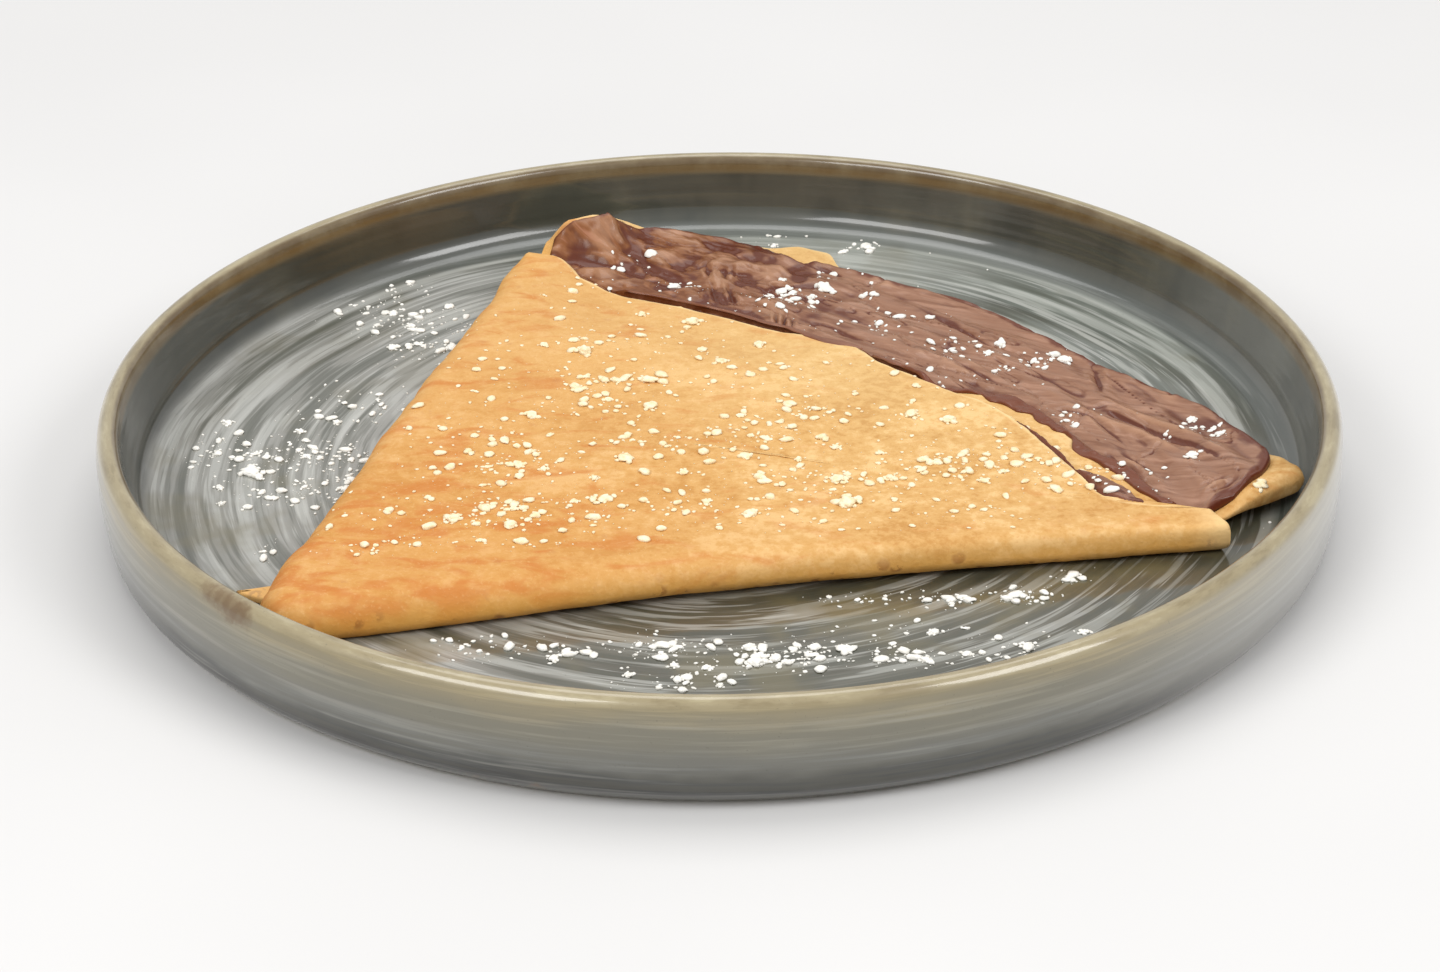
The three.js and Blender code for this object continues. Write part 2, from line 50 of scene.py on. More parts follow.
CAMERA_PLACE = (0.0, -0.7011, 0.3658)
CAMERA_DOWN = math.radians(27.56)
CAMERA_ROLL = math.radians(-0.648)
FOCAL_LENGTH = 92.445
SENSOR_WIDTH = 36
CLIP_END = 20


def make_camera():
    data = bpy.data.cameras.new("camera")
    data.lens = FOCAL_LENGTH
    data.sensor_width = SENSOR_WIDTH
    data.clip_end = CLIP_END
    camera = bpy.data.objects.new("camera", data)
    upright = Matrix.Rotation(math.pi / 2 - CAMERA_DOWN, 4, "X")
    roll = Matrix.Rotation(CAMERA_ROLL, 4, "Z")
    camera.matrix_world = Matrix.Translation(CAMERA_PLACE) @ upright @ roll
    bpy.context.scene.collection.objects.link(camera)
    bpy.context.scene.camera = camera


make_camera()

# ---------------------------------------------------------------- sizes shared with the solids

PLATE_RADIUS = 130
PLATE_HEIGHT = 24
FLOOR_Z = 6
LIP_WIDTH = 4.4
WALL_BULGE = 0.7
COVE_WIDTH = 7.4
COVE_HEIGHT = 3.4
FOOT_RADIUS = 126.6
FOOT_WIDTH = 7
FOOT_RECESS = 1.8

REST_GAP = 0.3
CREPE_THICKNESS = 1.5
WEDGE_POINT = np.array([-82.0, -72.0])
CORNER_ROUND = 8
CORNER_CENTRE = np.array([-82.6, -70.2])
FRONT_FOLD_ANGLE = 11
LEFT_FOLD_ANGLE = 73.5
FRONT_FOLD_BOW = -2.4
LEFT_FOLD_BOW = 0.6
CORNER_HEIGHT = 9
STACK_HEIGHT = 7.7
CUT_EDGE_ROUND = 0.5
MIDDLE_THICKNESS = 1.1
FRONT_RISE = 4.5
TIP_LIFT = 3.2
FAN_FIRST = 12.5
FAN_LAST = 76.8
FAN_LEFT_INSET = 3.5
FAN_FRONT_FLARE = 1
HUB = np.array([-8.0, -8.0])

SPREAD_THICKNESS = 1.1
SPREAD_RIDGE = 0.45
RIDGE_PITCH = 8.5
SEAM_THICKNESS = 0.5
LAYER_GAP = 0.3
SLOT_SKIN = 0.15
BAND_INNER = 151
SPREAD_FIRST = 13.1
SPREAD_LAST = 76
SEAM_LAST = 36.4
SEAM_REACH = 0.7
SEAM_BLOB = 6.3
SEAM_SWELLING = 0.9
SEAM_START = 11.7

LUMP_RADIUS_MIN = 0.9
LUMP_RADIUS_MAX = 2.3
LUMP_FLATNESS = 0.62
SUGAR_SEED = 4107

TOP_EDGE = [
    (8.4, 187), (10.8, 184.5), (11.8, 174), (13.2, 167.3), (15.2, 164.7), (23.9, 163.5),
    (29.8, 163.1), (34.7, 160), (41.6, 158.2), (46.2, 161.6), (49.9, 159.7), (54, 157),
    (67, 157.2), (71.6, 162), (75.3, 171.4), (77.2, 171),
]
MIDDLE_EDGE = [
    (11.2, 184), (14.3, 177.3), (18.9, 176), (22.1, 172.4), (31, 172), (34.5, 166), (37, 160),
]
LOWER_EDGE = [
    (12.5, 203.5), (13.2, 207.4), (14.2, 208.8), (17, 209.5), (24.7, 208.3), (28.4, 205.2),
    (33.8, 201), (46.8, 201.5), (53.5, 199.6), (56.2, 200.8), (58.6, 207.2), (60.4, 207.4),
    (62.3, 202.4), (64, 201.6), (70, 195), (73.6, 186), (76.8, 181),
]
SPREAD_EDGE = [
    (12.2, 187.6), (14.4, 200), (16.6, 205), (20.2, 207.6), (24.7, 207.2), (28.4, 204.2),
    (33.8, 200), (46.8, 200.5), (51.6, 198.3), (56.5, 198.5), (59.3, 196.3), (61.5, 199.6),
    (64, 200.4), (70, 193.8), (73.6, 185), (76, 179.5),
]
TOP_EDGE_HEIGHT = [
    (8, 6.9), (13, 7.4), (31, 7.3), (40, 6.9), (48, 5.6), (60, 5.3), (70, 5.5), (77, 6.8),
]
CURL_HEIGHT = [(58, 0), (66.7, 1), (70, 2.8), (73.6, 8.4), (75, 8.2), (77, 2.5)]
TIP_ROUND = [(11.9, 0.8), (12.0, 3.0), (12.2, 5.0), (12.5, 6.0), (13.2, 2.6), (14.5, 1.0), (15.6, 0),
             (16.6, -2.2), (18, -3.4), (21, -3.2), (26, 0)]
TIP_SIDE = [(150, 11.8), (180, 11.6), (188, 11.9), (198, 13.0), (206, 13.9), (210, 14.1)]

# Heaps of sugar lumps that the solids carry too: centre, half widths, number.
LUMPS_ON_PLATE = [
    (-72, 66, 18, 14, 7), (-91, 2, 15, 20, 9), (-2, -85, 42, 11, 10), (44, -82, 34, 9, 6),
    (28, 112, 16, 4, 2),
]
LUMPS_ON_CREPE = [
    (-30, -25, 45, 22, 13), (5, 5, 55, 30, 12), (40, -22, 45, 16, 7), (-25, 45, 30, 35, 8),
]
LUMPS_ON_SPREAD = [(103, -1, 7, 10, 4), (68, 44, 10, 12, 4), (28, 78, 14, 8, 4)]

# ---------------------------------------------------------------- small mathematics


def ease(start, end, value):
    """0 up to start, 1 from end on, and smooth between. Angles are in degrees, the rest in mm."""
    t = np.clip((value - start) / (end - start), 0, 1)
    return t * t * (3 - 2 * t)


def lerp(a, b, t):
    return a + (b - a) * t


def through(knots, x):
    """A smooth curve through (x, y) knots that never overshoots them."""
    kx, ky = np.array(knots, float).T
    x = np.clip(x, kx[0], kx[-1])
    slopes = np.diff(ky) / np.diff(kx)
    before, after = slopes[:-1], slopes[1:]
    turns = before * after <= 0
    tangents = np.zeros(len(kx))
    tangents[1:-1] = np.where(turns, 0, 2 * before * after / np.where(turns, 1, before + after))
    k = np.clip(np.searchsorted(kx, x, side="right") - 1, 0, len(kx) - 2)
    width = kx[k + 1] - kx[k]
    t = (x - kx[k]) / width
    bend = width * t * (1 - t) * ((1 - t) * tangents[k] - t * tangents[k + 1])
    return ky[k] + (ky[k + 1] - ky[k]) * t * t * (3 - 2 * t) + bend


def direction(angle):
    return np.stack([np.cos(np.radians(angle)), np.sin(np.radians(angle))], axis=-1)


def at_polar(angle, distance):
    return WEDGE_POINT + direction(angle) * np.asarray(distance)[..., None]


def polar_of(plan):
    """The angle and the distance of plan points, seen from the wedge's point."""
    away = plan - WEDGE_POINT
    return np.degrees(np.arctan2(away[..., 1], away[..., 0])), np.hypot(away[..., 0], away[..., 1])


def lattice(cells, seed):
    """Repeatable random numbers from -1 to 1 at whole-number places."""
    mixed = (cells[..., 0] * 374761393 + cells[..., 1] * 668265263 + cells[..., 2] * 2147483629
             + seed * 1274126177) & 0xFFFFFFFF
    mixed = ((mixed ^ (mixed >> 15)) * 2246822519) & 0xFFFFFFFF
    mixed = ((mixed ^ (mixed >> 13)) * 3266489917) & 0xFFFFFFFF
    return ((mixed ^ (mixed >> 16)) & 0xFFFFFF) / float(0x7FFFFF) - 1


def noise(points, seed):
    """Smooth noise from -1 to 1 with cells one unit wide."""
    cell = np.floor(points).astype(np.int64)
    t = points - cell
    t = t * t * t * (t * (t * 6 - 15) + 10)
    total = 0.0
    for corner in range(8):
        offset = np.array([corner & 1, corner >> 1 & 1, corner >> 2])
        weight = np.prod(np.where(offset, t, 1 - t), axis=-1)
        total = total + weight * lattice(cell + offset, seed)
    return total


def rough(points, size, seed, octaves=3, gain=0.5):
    """Noise in several sizes, the largest of them with the given cell size or sizes."""
    points = points / np.asarray(size, float)
    total = sum(gain ** n * noise(points * 2 ** n, seed + 17 * n) for n in range(octaves))
    return total / sum(gain ** n for n in range(octaves))


def with_depth(plan, depth=0.0):
    """Plan points with a third number."""
    return np.concatenate([plan, np.broadcast_to(depth, plan.shape[:-1])[..., None]], axis=-1)


# ---------------------------------------------------------------- heights of the layers


def covered_to(angle):
    """How far the cut flaps reach over the chocolate."""
    return np.maximum(through(TOP_EDGE, angle), through(MIDDLE_EDGE, angle))


def corner_curl(angle, distance):
    return through(CURL_HEIGHT, angle) * ease(171, through(LOWER_EDGE, angle), distance)


def lower_top(angle, distance):
    rise = FRONT_RISE * ease(27, 14, angle) * ease(178, 200, distance)
    return FLOOR_Z + REST_GAP + CREPE_THICKNESS + rise + corner_curl(angle, distance)


def lower_underside(angle, distance):
    lift = TIP_LIFT * ease(24, 14, angle) * ease(178, 196, distance)
    return FLOOR_Z + REST_GAP + lift + corner_curl(angle, distance)


def spread_underside(angle, distance):
    return lower_top(angle, distance) + SLOT_SKIN + LAYER_GAP


def spread_top(angle, distance):
    bare = ease(covered_to(angle) + 2, covered_to(angle) + 6, distance)
    sway = 2.2 * np.sin(np.radians(angle * 7)) + 1.3 * np.sin(np.radians(angle * 17 + 40))
    stroke = np.sin(2 * np.pi * (distance + sway) / RIDGE_PITCH)
    gouge = np.maximum(0, np.sin(np.radians(angle * 23))) * 0.35
    ridges = bare * SPREAD_RIDGE * (0.35 + 0.65 * stroke - gouge)
    return spread_underside(angle, distance) + SPREAD_THICKNESS + ridges


def slot_top(angle, distance):
    return spread_underside(angle, distance) + SPREAD_THICKNESS + LAYER_GAP


def middle_top(angle, distance):
    return slot_top(angle, distance) + MIDDLE_THICKNESS


def seam_underside(angle, distance):
    return middle_top(angle, distance) + SLOT_SKIN + LAYER_GAP


def seam_top(angle, distance):
    past_edge = ease(0.4, 1.8, distance - through(TOP_EDGE, angle))
    swelling = SEAM_SWELLING * ease(13.2, 15, angle) * ease(20, 15.8, angle) * past_edge
    return seam_underside(angle, distance) + SEAM_THICKNESS + swelling


def stack_top(plan):
    angle, distance = polar_of(plan)
    height = lerp(CORNER_HEIGHT, STACK_HEIGHT, np.clip(distance / 165, 0, 1.1) ** 1.2)
    edge = through(TOP_EDGE, angle)
    droop = (height - through(TOP_EDGE_HEIGHT, angle)) * ease(edge - 34, edge, distance)
    wrinkle = 0.22 * np.sin(np.radians(angle * 11)) * ease(20, 90, distance)
    return FLOOR_Z + height - droop + wrinkle * ease(edge, edge - 40, distance)


def outside_folds(plan):
    """How far a plan point lies outside the front or the left fold line."""
    from_centre = plan - CORNER_CENTRE
    front = from_centre @ direction(FRONT_FOLD_ANGLE - 90) - CORNER_ROUND
    left = from_centre @ direction(LEFT_FOLD_ANGLE + 90) - CORNER_ROUND
    return np.maximum(front, left)


# ---------------------------------------------------------------- meshes

COLUMN_GAP = 0.45


def new_piece(name, vertices, *faces):
    """A smooth mesh object from points in millimetres and arrays of triangles or quads."""
    mesh = bpy.data.meshes.new(name)
    corners = [face for part in faces for face in np.asarray(part).tolist()]
    mesh.from_pydata(np.reshape(vertices, (-1, 3)) * MM, [], corners)
    mesh.validate()
    mesh.shade_smooth()
    piece = bpy.data.objects.new(name, mesh)
    bpy.context.scene.collection.objects.link(piece)
    return piece


def listed(rows, name):
    """One three-number property of every row of a mesh."""
    flat = np.empty(len(rows) * 3, np.float32)
    rows.foreach_get(name, flat)
    return flat.reshape(-1, 3).astype(float)


def points_of(piece):
    return listed(piece.data.vertices, "co") / MM


def normals_of(piece):
    return listed(piece.data.vertex_normals, "vector")


def set_values(piece, **named):
    """Values at the points of a piece, which its finish reads by name."""
    for name, values in named.items():
        attribute = piece.data.attributes.new(name, "FLOAT", "POINT")
        attribute.data.foreach_set("value", np.asarray(values, np.float32))


def grid_quads(numbers, closed=False):
    """Quads of a grid of vertex numbers, facing up where rows run outwards and columns turn left."""
    after = np.roll(numbers, -1, axis=0) if closed else numbers[1:]
    here = numbers if closed else numbers[:-1]
    corners = [here[:, :-1], here[:, 1:], after[:, 1:], after[:, :-1]]
    return np.stack(corners, axis=-1).reshape(-1, 4)


def spokes(centre, ring):
    """Triangles from one vertex number to each step of a closed ring of them."""
    return np.stack([np.full(len(ring), centre), ring, np.roll(ring, -1)], axis=-1)


def crowded(first, last, step, rim, count=7):
    """Places from first to last in even steps, with more of them within rim of both ends."""
    near = rim * (1 - np.cos(np.linspace(0, np.pi / 2, count)))
    inner = np.linspace(first + rim, last - rim, max(2, round((last - first - 2 * rim) / step)))
    return np.concatenate([first + near[:-1], inner, last - near[-2::-1]])


def rows_to(edge, start, shares, hidden=()):
    """For each column, distances from start to its edge in the given shares, after hidden ones."""
    inner = np.repeat(np.array([hidden], float), len(edge), axis=0)
    return np.concatenate([inner, start + (edge[:, None] - start) * shares], axis=1)


def share_across(edge_angle):
    return np.clip((edge_angle - FAN_FIRST) / (FAN_LAST - FAN_FIRST), 0, 1)


def fan_angle(edge_angle, distance):
    """Every fan-shaped layer draws in at its left side and keeps close to the front fold."""
    across = share_across(edge_angle)
    left = FAN_LEFT_INSET * across ** 2 * (1 - ease(158, 175, distance))
    front = FAN_FRONT_FLARE * (1 - across) ** 8 * (1 - ease(186, 200, distance))
    return edge_angle - left - front


def flap_angle(edge_angle, distance):
    """The lower flap's front side runs straight from the blunt end of the stack to its tip."""
    shift = through(TIP_SIDE, distance) - fan_angle(FAN_FIRST, distance)
    return fan_angle(edge_angle, distance) + shift * (1 - share_across(edge_angle)) ** 8


def fan_sheet(name, edge_angles, distances, underside, top, rim, base, front_rim=None,
              angle_at=fan_angle):
    """A closed sheet over part of a fan: columns of angle, rows of distance. Its two faces meet
    at the boundary, rounded over the width rim, or front_rim at the first column. base is where
    they meet: 0 the underside, 0.5 halfway."""
    angle = angle_at(edge_angles[:, None], distances)
    plan = at_polar(angle, distances)
    z_under, z_top = underside(angle, distances), top(angle, distances)
    from_front = np.radians(angle - angle[:1]) * distances / (rim if front_rim is None else front_rim)
    from_left = np.radians(angle[-1:] - angle) * distances / rim
    from_ends = [(distances - distances[:, :1]) / rim, (distances[:, -1:] - distances) / rim]
    inside = np.minimum.reduce([from_front, from_left, *from_ends])
    crown = np.sqrt(1 - (1 - np.clip(inside, 0, 1)) ** 2)
    middle = lerp(z_under, z_top, base)
    above, below = (with_depth(plan, middle + (z - middle) * crown) for z in (z_top, z_under))
    columns, rows = distances.shape
    upper = np.arange(columns * rows).reshape(columns, rows)
    lower = upper.copy()
    lower[1:-1, 1:-1] = upper.size + np.arange((columns - 2) * (rows - 2)).reshape(columns - 2, -1)
    vertices = np.concatenate([above.reshape(-1, 3), below[1:-1, 1:-1].reshape(-1, 3)])
    return new_piece(name, vertices, grid_quads(upper), grid_quads(lower)[:, ::-1])


def without_slits(quads):
    """Quads, and the triangles that are left where neighbouring columns share a point."""
    inner, outer = quads[:, 0] == quads[:, 3], quads[:, 1] == quads[:, 2]
    return quads[~inner & ~outer], quads[inner & ~outer][:, :3], quads[~inner & outer][:, [0, 1, 3]]


def standing_columns(plan, least):
    """For each column of each ring, the column whose point stands for it. A column that comes
    closer than least to the one kept before it ends there, on all rings further in too."""
    columns = np.arange(plan.shape[0])
    kept, standing = columns, [columns]
    for ring in range(plan.shape[1] - 2, -1, -1):
        spots = plan[kept, ring].tolist()
        stays, last = [True], spots[0]
        for spot in spots[1:]:
            stays.append(math.dist(spot, last) >= least)
            last = spot if stays[-1] else last
        kept = kept[np.array(stays)]
        standing.append(kept[np.searchsorted(kept, columns, side="right") - 1])
    return np.stack(standing[::-1], axis=1)


def rounded_side(z_top, underside_z, outline, side_rows):
    """The side of a mound, row by row: its height, and the share by which it is drawn in."""
    _, _, limit, square, low_share, low_pull = outline
    height = z_top - underside_z
    upper = np.minimum(limit, height * (1 - low_share))[:, None]
    lower = np.minimum(limit, height * low_share)[:, None]
    straight = np.maximum(height[:, None] - upper - lower, 0)
    arcs = np.pi / 2 * upper, np.pi / 2 * lower
    run = np.linspace(0, 1, side_rows + 1)[None, 1:] * (arcs[0] + arcs[1] + straight)
    upper_angle = np.pi / 2 * (1 - np.clip(run / arcs[0], 0, 1))
    lower_angle = np.pi / 2 * np.clip((run - arcs[0] - straight) / arcs[1], 0, 1)
    power = np.where(lower_angle > 0, 1.0, 2 / square[:, None])
    z = z_top[:, None] - upper * (1 - np.sin(upper_angle) ** power)
    z = z - np.clip(run - arcs[0], 0, straight) - lower * np.sin(lower_angle) ** power
    pull = 1 - np.abs(np.cos(upper_angle + lower_angle)) ** power
    return z, pull * np.where(lower_angle > 0, low_pull[:, None], 1)


def mound(name, outline, hub, underside_z, top, rings, side_rows, groove=None):
    """A mound over a closed outline. The outline gives, for each point: the edge, where the top
    begins to turn down, the greatest height of that turn, how square it is, the share of the
    side that turns in below, and how far it turns in there."""
    at, inset, limit = outline[:3]
    shares = np.linspace(0, 1, rings + 1)[1:]
    plan = hub + (inset[:, None, :] - hub) * shares[None, :, None]
    standing = standing_columns(plan, COLUMN_GAP)
    plan = np.take_along_axis(plan, standing[..., None], axis=0)
    z, pull = rounded_side(top(inset), underside_z, outline, side_rows)
    side_plan = at[:, None, :] + (inset - at)[:, None, :] * pull[..., None]
    if groove is not None:
        inward = inset - at
        inward = inward / np.maximum(np.linalg.norm(inward, axis=1, keepdims=True), 1e-6)
        side_plan = side_plan + inward[:, None, :] * groove(side_plan, z, limit[:, None])[..., None]
    grid = np.concatenate([with_depth(plan, top(plan)), with_depth(side_plan, z)], axis=1)
    numbers = np.arange(grid.size // 3).reshape(grid.shape[:2])
    numbers[:, :rings] = np.take_along_axis(numbers[:, :rings], standing, axis=0)
    centres = [[*hub, float(top(hub[None, :])[0])], [*hub, underside_z]]
    vertices = np.concatenate([grid.reshape(-1, 3), centres])
    top_fan = spokes(grid.size // 3, numbers[:, 0])
    top_fan = top_fan[top_fan[:, 1] != top_fan[:, 2]]
    low_fan = spokes(grid.size // 3 + 1, numbers[:, -1])[:, [0, 2, 1]]
    quads, *triangles = without_slits(grid_quads(numbers, closed=True))
    triangles = np.concatenate([*triangles, top_fan, low_fan])
    numbers = np.concatenate([quads.ravel(), triangles.ravel()])
    used, renumbered = np.unique(numbers, return_inverse=True)
    return new_piece(name, vertices[used], renumbered[:quads.size].reshape(-1, 4),
                     renumbered[quads.size:].reshape(-1, 3))


def combine(piece, others, operation):
    """Joins others to piece, or cuts them out of it, and removes them."""
    for other in others:
        step = piece.modifiers.new("combine", "BOOLEAN")
        step.solver = "MANIFOLD"
        step.operation = operation
        step.object = other
    bpy.context.view_layer.update()
    made = bpy.data.meshes.new_from_object(piece.evaluated_get(bpy.context.evaluated_depsgraph_get()))
    piece.modifiers.clear()
    piece.data = made
    made.shade_smooth()
    for other in others:
        bpy.data.objects.remove(other)


# ---------------------------------------------------------------- plate

# Steps around in degrees, and along the section on the wall, on the floor and underneath.
PLATE_TURN_STEP = 0.75
WALL_STEP = 0.45
FLOOR_STEP = 1.1
UNDERSIDE_STEP = 6
# Radii over which the floor's rings end and the wall's swelling begins, and one on the lip.
RINGS_END = (116, 112)
SWELLING_BEGINS = (122, 124)
ON_LIP = 127


def plate_section():
    """The turned section with its corners rounded, from the axis underneath to the axis on top."""
    inner_lip = PLATE_RADIUS - LIP_WIDTH
    inner_wall = inner_lip - 2
    bulge = PLATE_RADIUS + WALL_BULGE
    points = np.array([
        (0, FOOT_RECESS), (FOOT_RADIUS - FOOT_WIDTH - 2.2, FOOT_RECESS),
        (FOOT_RADIUS - FOOT_WIDTH, 0), (FOOT_RADIUS - 1.2, 0), (FOOT_RADIUS, 0.9),
        (PLATE_RADIUS - 0.9, 3.2), (PLATE_RADIUS, 5.6), (bulge, 13), (bulge, 18),
        (PLATE_RADIUS + 0.2, PLATE_HEIGHT - 2), (PLATE_RADIUS - 0.9, PLATE_HEIGHT - 0.5),
        (PLATE_RADIUS - LIP_WIDTH * 0.5, PLATE_HEIGHT), (inner_lip + 0.5, PLATE_HEIGHT - 0.6),
        (inner_lip, PLATE_HEIGHT - 2.2), (inner_wall + 1, FLOOR_Z + 8),
        (inner_wall, FLOOR_Z + COVE_HEIGHT),
        (inner_wall - 0.35 * COVE_WIDTH, FLOOR_Z + 0.3 * COVE_HEIGHT),
        (inner_wall - COVE_WIDTH, FLOOR_Z), (0, FLOOR_Z),
    ], float)
    for _ in range(3):
        inner = np.stack([lerp(points[:-1], points[1:], 0.25), lerp(points[:-1], points[1:], 0.75)], 1)
        points = np.concatenate([points[:1], inner.reshape(-1, 2), points[-1:]])
    lengths = np.concatenate([[0], np.cumsum(np.hypot(*np.diff(points, axis=0).T))])
    steps = [0]
    while steps[-1] < lengths[-1]:
        radius = np.interp(steps[-1], lengths, points[:, 0])
        on_wall = radius > FOOT_RADIUS - FOOT_WIDTH - 4
        beneath = steps[-1] < lengths[-1] / 2
        steps.append(steps[-1] + (WALL_STEP if on_wall else UNDERSIDE_STEP if beneath else FLOOR_STEP))
    return np.stack([np.interp(steps[1:-1], lengths, points[:, n]) for n in (0, 1)], axis=-1)


def make_plate():
    section = plate_section()
    turns = np.radians(np.arange(0, 360, PLATE_TURN_STEP))
    radius, z = section[:, 0][None, :], section[:, 1][None, :]
    spin = np.stack([np.cos(turns), np.sin(turns)], axis=-1)[:, None, :]
    ring = np.broadcast_to(spin, (len(turns), len(section), 2))
    on_floor = ease(*RINGS_END, radius) * (z > FLOOR_Z - 1)
    on_wall = ease(*SWELLING_BEGINS, radius) * ease(3, 8, z)
    rise = 0.10 * on_floor * rough(with_depth(ring * 1.3, radius / 5), 1, 11)
    rise = rise + 0.2 * noise(with_depth(ring * 0.7), 5) * (z > 12)
    uneven = 0.16 * rough(with_depth(ring * 1.3, z / 3.4), 1, 23)
    swell = on_wall * (uneven + 0.25 * noise(with_depth(ring * 1.1), 29))
    wide = radius + np.where(radius > ON_LIP, swell, -swell * 0.6)
    grid = with_depth(ring * wide[..., None], z + rise * (z > 3))
    numbers = np.arange(grid.size // 3).reshape(grid.shape[:2])
    ends = [[0, 0, FOOT_RECESS], [0, 0, FLOOR_Z]]
    low = spokes(numbers.size, numbers[:, 0])[:, [0, 2, 1]]
    high = spokes(numbers.size + 1, numbers[:, -1])
    quads = grid_quads(numbers, closed=True)[:, ::-1]
    return new_piece("plate_glazed", np.concatenate([grid.reshape(-1, 3), ends]), quads, low, high)

# ---------------------------------------------------------------- crepe

RESTING_GAP = 0.06
RESTING_Z = FLOOR_Z + RESTING_GAP
CREPE_RINGS = 92
CREPE_SIDE_ROWS = 22
NO_LIMIT = 99.0
FOLD_STEP = 0.85
WIDEST_FOLD = 0.88 * CORNER_ROUND
LEFT_FOLD_BULGES = (1.7, 1.2)
TAB_OVERRUN = 5
CORNER_ROLL = 0.95
SIDE_ROLL = 0.7
TAB_ROLL = 0.44
ROLL_DEPTH = 0.8
CURL_LIP = 1.2
TIP_SWELLING = 0.7
FOLD_BAND = 4.2
CUT_FROM_FOLD = 5
MIDDLE_FLAP_END = 37
MIDDLE_FLAP_INNER = 130
SEAM_INNER = 150
SLOT_PLAY = 0.04
SLOT_RIM = 0.05
SLOT_OVERRUN = 0.9
SEAM_SLOT_SKIN = 0.2
TAB_CUTTER = [(-3, -12), (14, -12), (14, 0), (-3, 0)]
LOW_CORNER_HUB = (-84, -57.5)
LOW_CORNER = [(-77, -63), (-78, -52), (-86, -54.4), (-96, -57.2), (-96.6, -58.2), (-88, -62.5)]


def wavy(angle, distance, size, seed, octaves=3):
    return rough(with_depth(at_polar(angle, distance)), size, seed, octaves)


def outwards_of(ahead):
    """Unit directions to the right of the ones that lead along an outline."""
    return np.stack([ahead[:, 1], -ahead[:, 0]], -1) / np.linalg.norm(ahead, axis=1)[:, None]


def joined(strips):
    """The columns of all strips. A number stands for as many even steps between its neighbours."""
    whole = []
    for n, strip in enumerate(strips):
        if isinstance(strip, int):
            share = np.linspace(0, 1, strip + 2)[1:-1]
            ends = [(before[-1], after[0]) for before, after in zip(strips[n - 1], strips[n + 1])]
            strip = [lerp(a, b, share[:, None] if np.ndim(a) else share) for a, b in ends]
        whole.append(strip)
    return [np.concatenate(column) for column in zip(*whole)]


